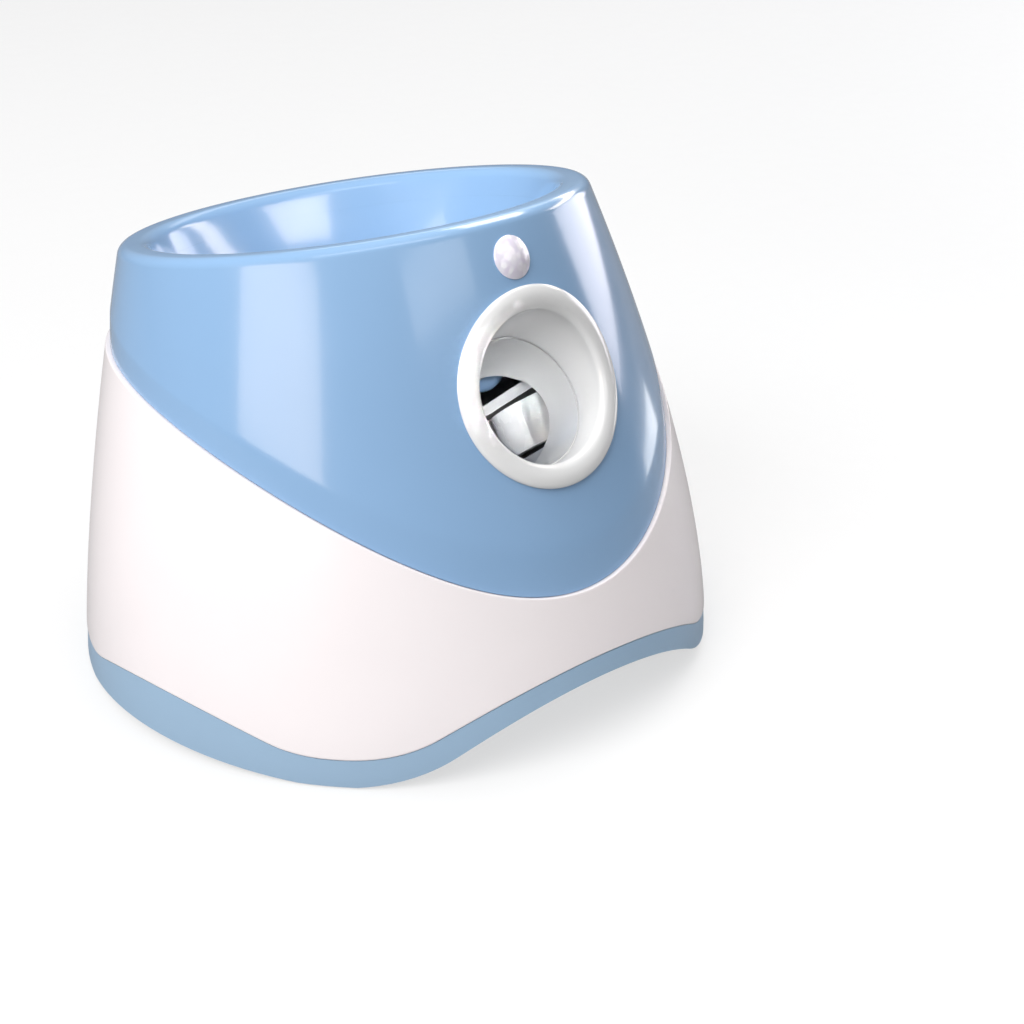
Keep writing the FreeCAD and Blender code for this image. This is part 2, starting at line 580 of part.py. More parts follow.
dome_radius = "(lens_radius ^ 2 + lens_rise ^ 2) / (2 * lens_rise)"
dome = cut("dome",
           common("dome_out", ball("dome_ball", dome_radius, 0, f"{dome_radius} - lens_rise"),
                  rod("dome_limit", "Y", "lens_radius", 30, 0, -10)),
           ball("dome_hollow", f"{dome_radius} - lens_wall", 0, f"{dome_radius} - lens_rise"),
           box("dome_back", -30, 30, 0.001, 60, -30, 30))
lens_tube = cut("lens_tube", rod("lens_tube_out", "Y", "lens_radius", "wall + 2", 0, 0),
                rod("lens_tube_in", "Y", "lens_radius - lens_wall", 20, 0, -1))
lens_flange = cut("lens_flange", rod("lens_flange_out", "Y", "lens_radius + 3", 1.5, 0, "wall + 0.6"),
                  rod("lens_flange_in", "Y", "lens_radius - lens_wall", 20, 0, 0))
node("sensor_lens", tilted("sensor_lens", fuse("lens_solid", dome, lens_tube, lens_flange), "sensor_lean", "sensor_y", "sensor_height"))
node("sensor_board", tilted("sensor_board", box("sensor_plate", -16, 16, 12, 13.6, -12, 12), "sensor_lean", "sensor_y", "sensor_height"))
node("sensor_can", tilted("sensor_can", fuse("can_solid", rod("can_body", "Y", 4.2, 4, 0, 8), rod("can_rim", "Y", 4.7, 0.8, 0, 11.2)),
                          "sensor_lean", "sensor_y", "sensor_height"))

# ---------------------------------------------------------------- launch unit

barrel_tube = rod("barrel_tube", "Y", "barrel_radius", "wheel_back + barrel_tail", 0, "-wheel_back")
barrel_bore = rod("barrel_bore", "Y", "bore_radius", 2 * FAR, 0, -FAR)
windows = rod("windows", "X", "window_radius", 2 * FAR, -FAR, 0, "-window_low")
column_room = rod("column_room", "Z", "column_outside + 0.3", FAR, 0, "seat_y", "seat_z - 20")
node("launch_barrel", cut("launch_barrel", launched("barrel_tilted", cut("barrel_solid", barrel_tube, barrel_bore, windows)), column_room))


def wing(name, side, radius, low, high, inner="0"):
    """A plate round one wheel: a disc and the block that joins it to the barrel."""
    block = sorted((inner, "wheel_side"), key=lambda text: text == "wheel_side")
    span = block if side > 0 else [f"-({block[1]})", f"-({block[0]})"]
    return fuse(
        name,
        rod(f"{name}_disc", "Z", radius, f"({high}) - ({low})", f"{side} * wheel_side", 0, low),
        box(f"{name}_block", span[0], span[1], f"-({radius})", radius, low, high),
    )


cradle = cut("cradle",
             rod("cradle_out", "Y", "barrel_radius + 3.4", "cover_radius + barrel_tail - 2", 0, "-cover_radius"),
             box("cradle_top", -FAR, FAR, -FAR, FAR, "plate_low", FAR))
wings = fuse("wings", *[wing(f"wing_{name}", side, "cover_radius", "plate_low - wall", "plate_low") for name, side in SIDES], cradle)
motor_holes = [rod(f"boss_hole_{name}", "Z", "motor_boss + 0.2", 20, f"{side} * wheel_side", 0, "plate_low - 10") for name, side in SIDES]
MOTOR_SCREWS = [(side, 12.5 * along) for _, side in SIDES for along in (-1, 1)]
motor_screw_holes = [
    rod(f"motor_screw_hole_{i}", "Z", "screw_radius + 0.1", 20, f"{side} * wheel_side", y, "plate_low - 10")
    for i, (side, y) in enumerate(MOTOR_SCREWS)
]
wing_plate = launched("wing_plate", cut("wing_cut", wings, barrel_space, *motor_holes, *motor_screw_holes))
above_wing = launched("above_wing", box("above_wing_block", -FAR, FAR, -FAR, FAR, "plate_low - wall + 0.01", FAR))
cheeks = []
for name, side in SIDES:
    near, far, flange = f"{side} * cheek_side", f"{side} * (cheek_side + 3)", f"{side} * (cheek_side + 16)"
    plate = (near, far) if side > 0 else (far, near)
    sole = (near, flange) if side > 0 else (flange, near)
    cheeks.append(box(f"cheek_{name}", *plate, "4 - arch_back", 32, "floor_top", FAR))
    cheeks.append(box(f"sole_{name}", *sole, "8 - arch_back", 32, "floor_top", "floor_top + 3"))
frame_holes = [
    rod(f"frame_hole_{i}", "Z", "screw_radius + 0.2", 30, f"{side} * (cheek_side + 10)", y, 0)
    for i, (side, y) in enumerate(FRAME_SCREWS)
]
cheek_window = rod("cheek_window", "X", 16, 2 * FAR, -FAR, -28, 40)
node("launch_frame", fuse("launch_frame", wing_plate, cut("cheeks", fuse("cheek_pair", *cheeks), above_wing, cheek_window,
                                                          *frame_holes)))

for name, side in SIDES:
    x = f"{side} * wheel_side"
    shell = cut(
        f"cover_shell_{name}",
        wing(f"cover_out_{name}", side, "cover_radius", "plate_low + 0.05", "plate_high + plate_upper", "barrel_radius + 0.8"),
        wing(f"cover_in_{name}", side, "cover_radius - wall", "plate_low - 1", "plate_high", "0"),
        barrel_space,
    )
    node(f"wheel_cover_{name}", launched(f"wheel_cover_{name}", shell))
    low = "-wheel_low - wheel_width / 2"
    drum = fuse(
        f"drum_{name}",
        cut(f"drum_rim_{name}", rod(f"drum_out_{name}", "Z", "wheel_radius - tread - 0.02", "wheel_width", x, 0, low),
            rod(f"drum_in_{name}", "Z", "wheel_radius - tread - 3", 2 * FAR, x, 0, -FAR)),
        rod(f"drum_web_{name}", "Z", "wheel_radius - tread - 2", 3, x, 0, "-wheel_low - 1.5"),
        rod(f"drum_hub_{name}", "Z", 7, "wheel_width - 3", x, 0, f"{low} + 1"),
    )
    lightening = [
        rod(f"hole_{name}_{i}", "Z", 6, 2 * FAR, f"{x} + 18 * cos({60 * i})", f"18 * sin({60 * i})", -FAR) for i in range(6)
    ]
    node(f"flywheel_{name}", launched(f"flywheel_{name}", cut(
        f"drum_bored_{name}", drum, rod(f"drum_bore_{name}", "Z", "axle_radius + 0.02", 2 * FAR, x, 0, -FAR), *lightening)))
    node(f"wheel_tread_{name}", launched(f"wheel_tread_{name}", cut(
        f"tread_{name}", rod(f"tread_out_{name}", "Z", "wheel_radius", "wheel_width", x, 0, low),
        rod(f"tread_in_{name}", "Z", "wheel_radius - tread", 2 * FAR, x, 0, -FAR))))
    face = "plate_low - wall - 0.05"
    can = fuse(
        f"can_{name}",
        rod(f"can_body_{name}", "Z", "motor_radius", "motor_length", x, 0, f"{face} - motor_length"),
        rod(f"can_boss_{name}", "Z", "motor_boss", 3, x, 0, face),
        rod(f"can_tail_{name}", "Z", 6, 3, x, 0, f"{face} - motor_length - 3"),
    )
    node(f"drive_motor_{name}", launched(f"drive_motor_{name}", cut(
        f"motor_{name}", can, rod(f"motor_bore_{name}", "Z", "axle_radius + axle_play", 40, x, 0, f"{face} - 14"),
        *[rod(f"motor_thread_{name}_{i}", "Z", "screw_radius + 0.02", 9, x, y, f"{face} - 8") for i, y in enumerate((-12.5, 12.5))])))
    node(f"motor_shaft_{name}", launched(f"motor_shaft_{name}", rod(
        f"axle_{name}", "Z", "axle_radius", f"13 - ({face}) - wheel_low + wheel_width / 2 - 2", x, 0, f"{face} - 13")))

motor_screws = []
for i, (side, y) in enumerate(MOTOR_SCREWS):
    x = f"{side} * wheel_side"
    motor_screws.append(fuse(f"motor_screw_{i}",
                             rod(f"motor_head_{i}", "Z", "screw_head", 1.8, x, y, "plate_low + 0.02"),
                             rod(f"motor_shank_{i}", "Z", "screw_radius", 8, x, y, "plate_low - 7.9")))
node("motor_screws", launched("motor_screws", group("motor_screw_set", *motor_screws)))

# ---------------------------------------------------------------- feed chute and pusher

seat_tube = launched("seat_tube", rod("seat_rod", "Y", "barrel_radius", "chute_back - barrel_tail - 0.5", 0, "barrel_tail + 0.5"))
seat_bore = launched("seat_bore", rod("seat_bore_rod", "Y", "bore_radius", 2 * FAR, 0, "-wheel_back"))
column_top = "throat_height - 4.3"
column = rod("column", "Z", "column_outside", f"{column_top} - seat_z", 0, "seat_y", "seat_z")
column_bore = rod("column_bore", "Z", "column_radius", FAR, 0, "seat_y", "seat_z")
ears = [
    box("ear_left", "-ear_outside", "-ear_inside", "seat_y + column_outside - 9", "pivot_y + 9", "pivot_z - 12", f"{column_top}"),
    box("ear_right", "ear_inside", "ear_outside", "seat_y + column_outside - 9", "pinion_y + 22", "pinion_z - 22", f"{column_top}"),
]
ear_hole = rod("ear_hole", "X", "pin_radius + 2.02", 2 * FAR, -FAR, "pivot_y", "pivot_z")
boss_room = rod("boss_room", "X", 6.2, FAR, 0, "pinion_y", "pinion_z")
arm_slot = fuse(
    "arm_slot",
    box("slot_upper", "-arm_width / 2 - 2", "arm_width / 2 + 2", "seat_y", "pivot_y + 30", "seat_z - 8", f"{column_top} - 4"),
    launched("slot_lower", box("slot_lower_block", "-arm_width / 2 - 2", "arm_width / 2 + 2", "seat_back", "chute_back + 9", 0, 60)),
)
eye_holes = launched("eye_holes", rod("eye_hole_rod", "X", 2.6, 120, -60, "seat_back", 10))
wheel_room = launched("wheel_room", fuse("wheel_room_pair", *[
    wing(f"wheel_room_{name}", side, "cover_radius + 0.4", "plate_low - wall - 0.4", "plate_high + plate_upper + 0.4", "0") for name, side in SIDES]))
chute_solid = cut("chute_solid", fuse("chute_outer", seat_tube, cut("column_clear", column, wheel_room), *ears), seat_bore, column_bore)
node("feed_chute", cut("feed_chute", chute_solid, ear_hole, boss_room, arm_slot, eye_holes))
node("pusher_bushes", group("pusher_bushes", *[
    cut(f"bush_{name}", rod(f"bush_out_{name}", "X", "pin_radius + 2", "ear_thick",
                            "ear_inside" if side > 0 else "-ear_outside", "pivot_y", "pivot_z"),
        rod(f"bush_in_{name}", "X", "pin_radius + 0.05", 2 * FAR, -FAR, "pivot_y", "pivot_z")) for name, side in SIDES]))
node("pusher_shaft", rod("pusher_shaft", "X", "pin_radius", "2 * ear_outside + 4", "-ear_outside - 2", "pivot_y", "pivot_z"))


def gear_wire(teeth, first, last, phase):
    """Outline of the teeth first to last about the origin, in the YZ plane. A tooth is a trapezium with
    play at its flanks; the teeth close over the centre when they don't go all round."""
    module = value("tooth_module")
    pitch = module * teeth / 2
    outer, root = pitch + module * 0.92, pitch - module * 1.2
    step = 2 * math.pi / teeth
    points = []
    for tooth in range(first, last):
        middle = phase + tooth * step
        for share, radius in ((-0.30, root), (-0.115, outer), (0.115, outer), (0.30, root)):
            angle = middle + share * step
            points.append(FreeCAD.Vector(0, radius * math.cos(angle), radius * math.sin(angle)))
    if last - first < teeth:
        points.append(FreeCAD.Vector(0, 0, 0))
    return Part.makePolygon(points + points[:1])


def gear(name, teeth, first, last, phase, width, x):
    """A straight gear whose pitch circle comes from the sheet, centred on the launch frame's origin."""
    wheel = add("Part::Feature", name)
    face = Part.Face(gear_wire(teeth, first, last, phase))
    face.translate(FreeCAD.Vector(x, 0, 0))
    wheel.Shape = face.extrude(FreeCAD.Vector(width, 0, 0))
    return wheel


arm_count = int(value("arm_teeth"))
pinion_count = int(value("pinion_teeth"))
gear_side = value("ear_inside") - 2 - value("gear_width")
arm_gear = gear("arm_gear", arm_count, -2, 6, 0, value("gear_width"), gear_side)
pad_y = "seat_back + ball_radius + 0.5"
arm_bar = add("Part::Feature", "arm_bar")
hang = math.atan2(value("seat_back") + value("ball_radius") + 0.5 + value("pad_thick") / 2 - value("pivot_back"), value("pivot_rise"))
bar_length = math.hypot(value("seat_back") + value("ball_radius") + 0.5 + value("pad_thick") / 2 - value("pivot_back"), value("pivot_rise"))
arm_bar.Shape = Part.makeBox(value("arm_width"), 7, bar_length, FreeCAD.Vector(-value("arm_width") / 2, -3.5, -bar_length))
arm_bar.Placement = FreeCAD.Placement(
    FreeCAD.Vector(0, value("pivot_back"), value("pivot_rise")), FreeCAD.Rotation(FreeCAD.Vector(1, 0, 0), math.degrees(hang))
)
pusher_solid = cut(
    "pusher_solid",
    fuse("pusher_parts",
         rod("pusher_hub", "X", 6.5, "2 * ear_inside - 1", "0.5 - ear_inside", "pivot_back", "pivot_rise"),
         arm_bar,
         rod("pusher_pad", "Y", "pad_radius", "pad_thick", 0, pad_y, 0),
         at(group("arm_gear_placed", arm_gear), 0, "pivot_back", "pivot_rise")),
    rod("pusher_bore", "X", "pin_radius + 0.02", 2 * FAR, -FAR, "pivot_back", "pivot_rise"),
)
node("pusher_arm", launched("pusher_arm", pusher_solid))
half_tooth = math.pi + math.pi / pinion_count
pinion = gear("pinion_teeth_solid", pinion_count, 0, pinion_count, half_tooth, value("gear_width") + 1, gear_side - 0.5)
pinion_placed = at(group("pinion_placed", pinion), 0, "pivot_back + gear_distance", "pivot_rise")
node("drive_pinion", launched("drive_pinion", cut("pinion_bored", pinion_placed, rod(
    "pinion_bore", "X", "pin_radius + 0.02", FAR, 0, "pivot_back + gear_distance", "pivot_rise"))))
node("pinion_shaft", rod("pinion_shaft", "X", "pin_radius", 18, gear_side - 1, "pinion_y", "pinion_z"))
gear_motor = fuse(
    "gear_motor_parts",
    rod("gearbox", "X", "gearbox_radius", "gearbox_length", "ear_outside + 0.05", "pinion_y", "pinion_z"),
    rod("gearbox_boss", "X", 6, "ear_thick", "ear_inside + 0.1", "pinion_y", "pinion_z"),
    rod("feed_motor", "X", "feed_motor_radius", "feed_motor_length", "ear_outside + gearbox_length", "pinion_y", "pinion_z"),
)
node("gear_motor", cut("gear_motor", gear_motor, rod("gear_motor_bore", "X", "pin_radius + 0.05", 12, "ear_inside", "pinion_y", "pinion_z")))
node("ball_sensor", launched("ball_sensor", group("ball_sensor_pair", *[
    fuse(f"eye_{name}", rod(f"eye_led_{name}", "X", 2.5, 8, 34 if side > 0 else -42, "seat_back", 10),
         box(f"eye_board_{name}", *((41.5, 43) if side > 0 else (-43, -41.5)), "seat_back - 6", "seat_back + 6", 4, 16))
    for name, side in SIDES])))

# ---------------------------------------------------------------- batteries

cells, contacts = [], []
for row in range(3):
    y = f"box_front + 4 + cell_radius * {2 * row + 1} + {row * 0.3}"
    z = "floor_top + 2.5 + cell_radius"
    for name, side in SIDES:
        start = 0.6 if side > 0 else "-cell_length - 0.6 + 1.5"
        nub = f"cell_length - 0.9" if side > 0 else "-cell_length - 0.6"
        cells.append(fuse(f"cell_{name}_{row}", rod(f"cell_can_{name}_{row}", "X", "cell_radius", "cell_length - 1.5", start, y, z),
                          rod(f"cell_nub_{name}_{row}", "X", 3, 1.5, nub, y, z)))
        plate = ("cell_length + 0.7", "cell_length + 1.2") if side > 0 else ("-cell_length - 1.2", "-cell_length - 0.7")
        contacts.append(box(f"contact_{name}_{row}", *plate, f"{y} - 8", f"{y} + 8", f"{z} - 8", f"{z} + 8"))
node("battery_cells", group("battery_cells", *cells))
node("battery_contacts", group("battery_contacts", *contacts))
battery_tub = cut(
    "battery_tub",
    box("tub_out", "-box_half_width", "box_half_width", "box_front", "box_back", "floor_top + 0.05", "box_top"),
    box("tub_in", "2 - box_half_width", "box_half_width - 2", "box_front + 2", "box_back - 2", 0, "box_top - 2"),
)
node("battery_box", battery_tub)
door_plate = box("door_plate", "-box_half_width", "box_half_width", "box_front", "box_back + 2", 3.1, "3.1 + door_thick")
door_grips = [
    box(f"grip_{i}", -16, 16, f"box_back - {8 + 4 * i}", f"box_back - {6.6 + 4 * i}", 2.3, 3.2) for i in range(4)
]
node("battery_door", fuse("battery_door", door_plate, *door_grips))

# ---------------------------------------------------------------- control panel at the back

panel_wall = common("panel_wall", cut("panel_skin", outside, inside), panel_zone)
lamp_spots = [-7, 0, 7]
panel_holes = [
    rod(f"button_hole_{name}", "Y", "button_radius + 0.3", 60, f"{side} * button_side", "panel_y - 30", "button_height")
    for name, side in SIDES
] + [rod(f"lamp_hole_{i}", "Y", 1.6, 60, x, "panel_y - 30", "button_height + 8") for i, x in enumerate(lamp_spots)]
jack_hole = rod("jack_hole", "Y", "jack_radius", 60, 0, "panel_y - 30", "jack_height")
node("control_panel", cut("control_panel", panel_wall, jack_hole, *panel_holes))
for (name, side), label in zip(SIDES, ("power_button", "range_button")):
    x = f"{side} * button_side"
    cap = common(
        f"{label}_cap",
        rod(f"{label}_rod", "Y", "button_radius", 14, x, "panel_y - 9", "button_height"),
        loft(f"{label}_limit", [section(f"{label}_s{i}", f, "-1.6") for i, f in enumerate((0.2, 0.4, 0.6))]),
    )
    stem = rod(f"{label}_stem", "Y", 2.5, 6, x, "panel_y - 14.5", "button_height")
    node(label, fuse(label, cap, stem))
node("range_lamps", group("range_lamps", *[rod(f"lamp_{i}", "Y", 1.5, 10, x, "panel_y - 11", "button_height + 8") for i, x in enumerate(lamp_spots)]))
switch_y = "panel_y - 18"
node("switch_board", fuse(
    "switch_board",
    box("switch_plate", -34, 34, f"{switch_y} - 1.6", switch_y, "button_height - 12", "button_height + 12"),
    *[box(f"switch_{name}", f"{side} * button_side - 3", f"{side} * button_side + 3", f"{switch_y} - 0.01", f"{switch_y} + 2", "button_height - 3",
          "button_height + 3") for name, side in SIDES],
))
jack_body = cut(
    "jack_body",
    fuse("jack_solid", rod("jack_barrel", "Y", "jack_radius - 0.1", 10, 0, "panel_y - 11", "jack_height"),
         box("jack_block", -6, 6, "panel_y - 18", "panel_y - 9", "jack_height - 6", "jack_height + 6")),
    cut("jack_socket", rod("jack_bore", "Y", 3, 12, 0, "panel_y - 9.5", "jack_height"), rod("jack_pin", "Y", 1, 8, 0, "panel_y - 10", "jack_height")),
)
node("dc_jack", jack_body)

# ---------------------------------------------------------------- electronics and screws

node("main_board", box("main_board", "-board_side", "52 - board_side", -10, 74, "floor_top + 8", "floor_top + 9.6"))
BOARD_PARTS = [
    ("box", 6, 8, 14, 10, 8), ("box", 6, 24, 14, 10, 8), ("box", 26, 10, 16, 16, 3), ("rod", 42, 14, 5, 0, 14),
    ("rod", 42, 28, 5, 0, 14), ("box", 4, 58, 12, 16, 20), ("box", 22, 62, 18, 8, 9), ("box", 20, 40, 22, 14, 2),
]
board_parts = []
for i, (kind, x, y, wide, deep, tall) in enumerate(BOARD_PARTS):
    x, y, z = f"{x} - board_side", y - 10, "floor_top + 9.65"
    board_parts.append(
        rod(f"part_{i}", "Z", wide, tall, x, y, z) if kind == "rod"
        else box(f"part_{i}", x, f"{x} + {wide}", y, y + deep, z, f"{z} + {tall}")
    )
node("board_parts", group("board_parts", *board_parts))
STANDOFFS = [(f"{x} - board_side", y) for x in (4, 48) for y in (-6, 70)]
node("board_screws", group("board_screws", *[
    fuse(f"standoff_{i}", rod(f"spacer_{i}", "Z", 3, 7.9, x, y, "floor_top + 0.05"),
         rod(f"spacer_head_{i}", "Z", 2.8, 1.8, x, y, "floor_top + 9.65"))
    for i, (x, y) in enumerate(STANDOFFS)]))
node("speaker", fuse("speaker", rod("speaker_rim", "Z", 20, 4, SPEAKER[0], SPEAKER[1], "floor_top + 0.05"),
                     rod("speaker_magnet", "Z", 10, 10, SPEAKER[0], SPEAKER[1], "floor_top + 0.05")))
node("frame_screws", group("frame_screws", *[
    fuse(f"frame_screw_{i}", rod(f"frame_head_{i}", "Z", "screw_head", 1.8, f"{side} * (cheek_side + 10)", y, "floor_top + 3.05"),
         rod(f"frame_shank_{i}", "Z", "screw_radius", 6, f"{side} * (cheek_side + 10)", y, "floor_top - 2.9"))
    for i, (side, y) in enumerate(FRAME_SCREWS)]))
for name, spots in (("case_screws", CASE_POSTS), ("shell_screws", SHELL_POSTS)):
    head = -11.05 if name == "case_screws" else -17.05
    node(name, fuse(name, post_rods(f"{name}_heads", spots, head, f"{head} + 3", "bolt_head"),
                    post_rods(f"{name}_shanks", spots, f"{head} + 2.95", 10, "bolt_radius")))

# ---------------------------------------------------------------- checks and files

document.recompute()
for thing in document.Objects:
    if "Invalid" in thing.State or "Error" in thing.State:
        raise RuntimeError(f"{thing.Name} failed: {thing.State}")
os.makedirs("parts", exist_ok=True)
for name, shape in NODES.items():
    if shape.Shape.isNull() or not shape.Shape.isValid() or not shape.Shape.Solids:
        raise RuntimeError(f"{name} has no valid solid")
    shape.Shape.exportStep(f"parts/{name}.step")
    print(name, len(shape.Shape.Solids), round(shape.Shape.Volume / 1000, 1), "cm3")
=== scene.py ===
"""Looks of an automatic dog ball launcher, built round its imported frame.

The casing is a stack of horizontal ellipses. At height z the share t = (z / crest) ^ 1.5 gives the half
width, the half depth and how far the ellipse lies back. Every moulded skin below starts from it.
"""

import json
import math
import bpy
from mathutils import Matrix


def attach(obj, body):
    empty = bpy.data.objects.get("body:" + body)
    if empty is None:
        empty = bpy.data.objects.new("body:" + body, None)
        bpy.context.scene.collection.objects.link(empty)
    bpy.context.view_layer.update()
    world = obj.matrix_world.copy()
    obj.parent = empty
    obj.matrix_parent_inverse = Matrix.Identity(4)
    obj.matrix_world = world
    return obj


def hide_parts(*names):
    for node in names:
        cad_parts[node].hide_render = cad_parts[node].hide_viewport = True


bl_info = {
    "name": "Ball Launcher Looks",
    "version": (1, 0, 0),
    "blender": (4, 5, 0),
    "location": "View3D > Sidebar > Launcher",
    "description": "Builds the mouldings, finishes and studio of a ball launcher",
    "category": "Object",
}

import bmesh
import bpy
import numpy as np
from bpy.props import FloatProperty, FloatVectorProperty, IntProperty, PointerProperty
from mathutils import Matrix, Vector

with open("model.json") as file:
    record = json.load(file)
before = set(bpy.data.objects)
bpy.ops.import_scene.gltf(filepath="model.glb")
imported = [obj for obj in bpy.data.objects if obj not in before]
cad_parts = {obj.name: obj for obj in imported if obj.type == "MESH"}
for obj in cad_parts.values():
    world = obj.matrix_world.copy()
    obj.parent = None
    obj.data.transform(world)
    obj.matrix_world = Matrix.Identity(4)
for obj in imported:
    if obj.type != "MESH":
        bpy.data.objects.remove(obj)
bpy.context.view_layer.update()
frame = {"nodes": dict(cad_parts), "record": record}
TAU = 2 * math.pi


# ---------------------------------------------------------------- sizes and colours


def length(name, description, default):
    """A size in metres."""
    return FloatProperty(name=name, description=description, default=default, unit="LENGTH", precision=4)


def angle(name, description, degrees):
    """An angle, written in degrees and kept in radians."""
    return FloatProperty(name=name, description=description, default=math.radians(degrees), unit="ROTATION")


def colour(name, description, default):
    """A colour as linear shares of red, green and blue."""
    return FloatVectorProperty(name=name, description=description, default=default, subtype="COLOR", size=3,
                               min=0, max=1)


class LauncherCasing(bpy.types.PropertyGroup):
    half_width: length("Half width", "Half width of the section at the ground", 0.1705)
    half_depth: length("Half depth", "Half depth of the section at the ground", 0.1585)
    width_loss: length("Width taper", "What the half width loses up to the crest", 0.055)
    depth_loss: length("Depth taper", "What the half depth loses up to the crest", 0.0522)
    ahead: length("Ahead", "How far the ground section lies in front of the origin", 0.0027)
    shift: length("Shift", "How far the crest section lies behind the ground section", 0.0404)
    crest: length("Crest", "Height of the front of the rim", 0.247)
    crest_ahead: length("Crest place", "How far the crest lies in front of the origin", 0.0686)
    rim_tilt: angle("Rim tilt", "Fall of the rim towards the back", 13.7)
    rim_width: length("Rim width", "From the outside to the bowl's inside", 0.015)
    rim_outer: length("Outer fillet", "Fillet on the rim's outside", 0.006)
    rim_inner: length("Inner fillet", "Fillet on the rim's inside", 0.007)
    rim_lip: length("Lip", "Depth of the rim's inner return", 0.014)
    parting_radius: length("Parting arc", "Radius of the line between shell and band", 0.317)
    parting_back: length("Parting back", "Centre of the parting arc, behind the origin", 0.0675)
    parting_drop: length("Parting drop", "Centre of the parting arc, below the ground", 0.1556)
    crease: length("Crease", "Height of the turned-in edge above the parting line", 0.0135)
    crease_more: length("Crease front", "What the crease gains at front and back", 0.008)
    tuck: length("Tuck", "How far the shell's lower edge turns in", 0.0019)
    seam: length("Seam", "Half the gap between mouldings", 0.0001)
    proud: length("Proud band", "How far the band stands out", 0.0004)
    columns: IntProperty(name="Columns", description="Points round the casing", default=288, min=48, max=512)


class LauncherBowl(bpy.types.PropertyGroup):
    half_width: length("Rim half width", "Half width of the rim's outline", 0.12406)
    half_length: length("Rim half length", "Half length of the rim's outline", 0.11125)
    middle_back: length("Rim middle back", "Middle of the rim, behind the origin", 0.03948)
    middle_up: length("Rim middle up", "Middle of the rim above the ground", 0.22065)
    knee: length("Knee", "Depth of the steep part of the wall", 0.034)
    draft: length("Draft", "How far the steep part leans in", 0.012)
    throat: length("Throat", "Radius of the throat", 0.036)
    throat_up: length("Throat height", "Height of the throat", 0.132)
    throat_ahead: length("Throat place", "How far the throat lies in front of the origin", 0.00246)
    power: FloatProperty(name="Floor", description="Floor's shape: 1 is a cone, 2 an ellipse", default=1.5)
    hump: length("Hump", "Radius of the hump over the barrel", 0.0394)


class LauncherOutlet(bpy.types.PropertyGroup):
    height: length("Height", "Centre of the ring above the ground", 0.1736)
    ahead: length("Ahead", "Centre of the ring in front of the origin", 0.10664)
    lean: angle("Lean", "Lean of the wall behind the ring", 25.24)
    aim: angle("Aim", "Launch direction above the horizontal", 40.5)
    ring: length("Ring", "Outer radius of the ring", 0.0487)
    lip: length("Lip", "Inner radius of the ring", 0.0369)
    bore: length("Bore", "Radius of the duct's end", 0.0334)
    depth: length("Depth", "From the ring back to the barrel's mouth", 0.0226)
    sensor_height: length("Sensor height", "Centre of the lens above the ground", 0.2294)
    sensor_ahead: length("Sensor ahead", "Centre of the lens in front of the origin", 0.07805)
    sensor_lean: angle("Sensor lean", "Lean of the wall behind the lens", 28.46)
    lens: length("Lens", "Radius of the lens", 0.0106)
    dome: length("Dome", "Height of the lens dome", 0.004)


class LauncherFinish(bpy.types.PropertyGroup):
    blue: colour("Blue", "Upper shell and bowl", (0.255, 0.42, 0.65))
    base_blue: colour("Base blue", "Base moulding", (0.315, 0.45, 0.6))
    white: colour("White", "Band", (0.88, 0.825, 0.835))
    ring_white: colour("Ring white", "Outlet ring, barrel and wheels", (0.8, 0.8, 0.8))
    lens: colour("Lens", "Milky sensor lens", (0.74, 0.7, 0.8))
    button: colour("Buttons", "Both buttons", (0.24, 0.42, 0.7))
    floor: colour("Floor", "Studio floor", (0.3, 0.3, 0.3))


class LauncherStudio(bpy.types.PropertyGroup):
    lens: FloatProperty(name="Focal length", description="On a 36 mm sensor", default=72.029, unit="CAMERA")
    ambient: FloatProperty(name="Ambient", description="Strength of the surroundings", default=0.26, min=0)
    glow: FloatProperty(name="Floor glow", description="How much the floor glows", default=0.62, min=0)


GROUPS = {"casing": LauncherCasing, "bowl": LauncherBowl, "outlet": LauncherOutlet, "finish": LauncherFinish,
          "studio": LauncherStudio}

# What stays fixed: walls, radii of the shell's holes and how deep they cut, the point between the two wheels
# that the launch axis passes, the bend that counts as a crisp edge, a height under everything, and the
# repeats that settle a height on the casing.
SHELL_WALL, BAND_WALL = 0.0026, 0.0024
OUTLET_HOLE, SENSOR_HOLE, HOLE_DEPTH = 0.0425, 0.0085, 0.03
WHEELS_UP, WHEELS_AHEAD = 0.12489, 0.04961
CRISP_BEND = math.radians(32)
FAR_BELOW = -1.0
SETTLING_STEPS = 40


def sizes(name):
    """One of the groups of sizes, by its name."""
    return getattr(bpy.context.scene, f"launcher_{name}")


# ---------------------------------------------------------------- mesh helpers


def turns(columns):
    """Angles of the columns round a piece."""
    return np.arange(columns) * TAU / columns


def lay_grid(points, loop=False):
    """Joins a (rows, columns, 3) array of points by quads, with the last column joined to the first. Loop
    also joins the last row to the first."""
    rows, columns = points.shape[:2]
    index = np.arange(rows * columns).reshape(rows, columns)
    index = np.concatenate([index, index[:, :1]], axis=1)
    if loop:
        index = np.concatenate([index, index[:1]], axis=0)
    quads = np.stack([index[:-1, :-1], index[:-1, 1:], index[1:, 1:], index[1:, :-1]], axis=-1)
    return points.reshape(-1, 3), quads.reshape(-1, 4)


def make_skin(node, points, quads, slot):
    """Puts points and quads into a smooth-shaded piece of the housing that takes a node's place."""
    used, quads = np.unique(quads, return_inverse=True)
    mesh = bpy.data.meshes.new(f"{node}_skin")
    mesh.from_pydata(points[used], [], quads.reshape(-1, 4))
    mesh.validate()
    mesh.shade_smooth()
    crisp_borders(mesh)
    return add_piece(mesh, "housing", slot, node)


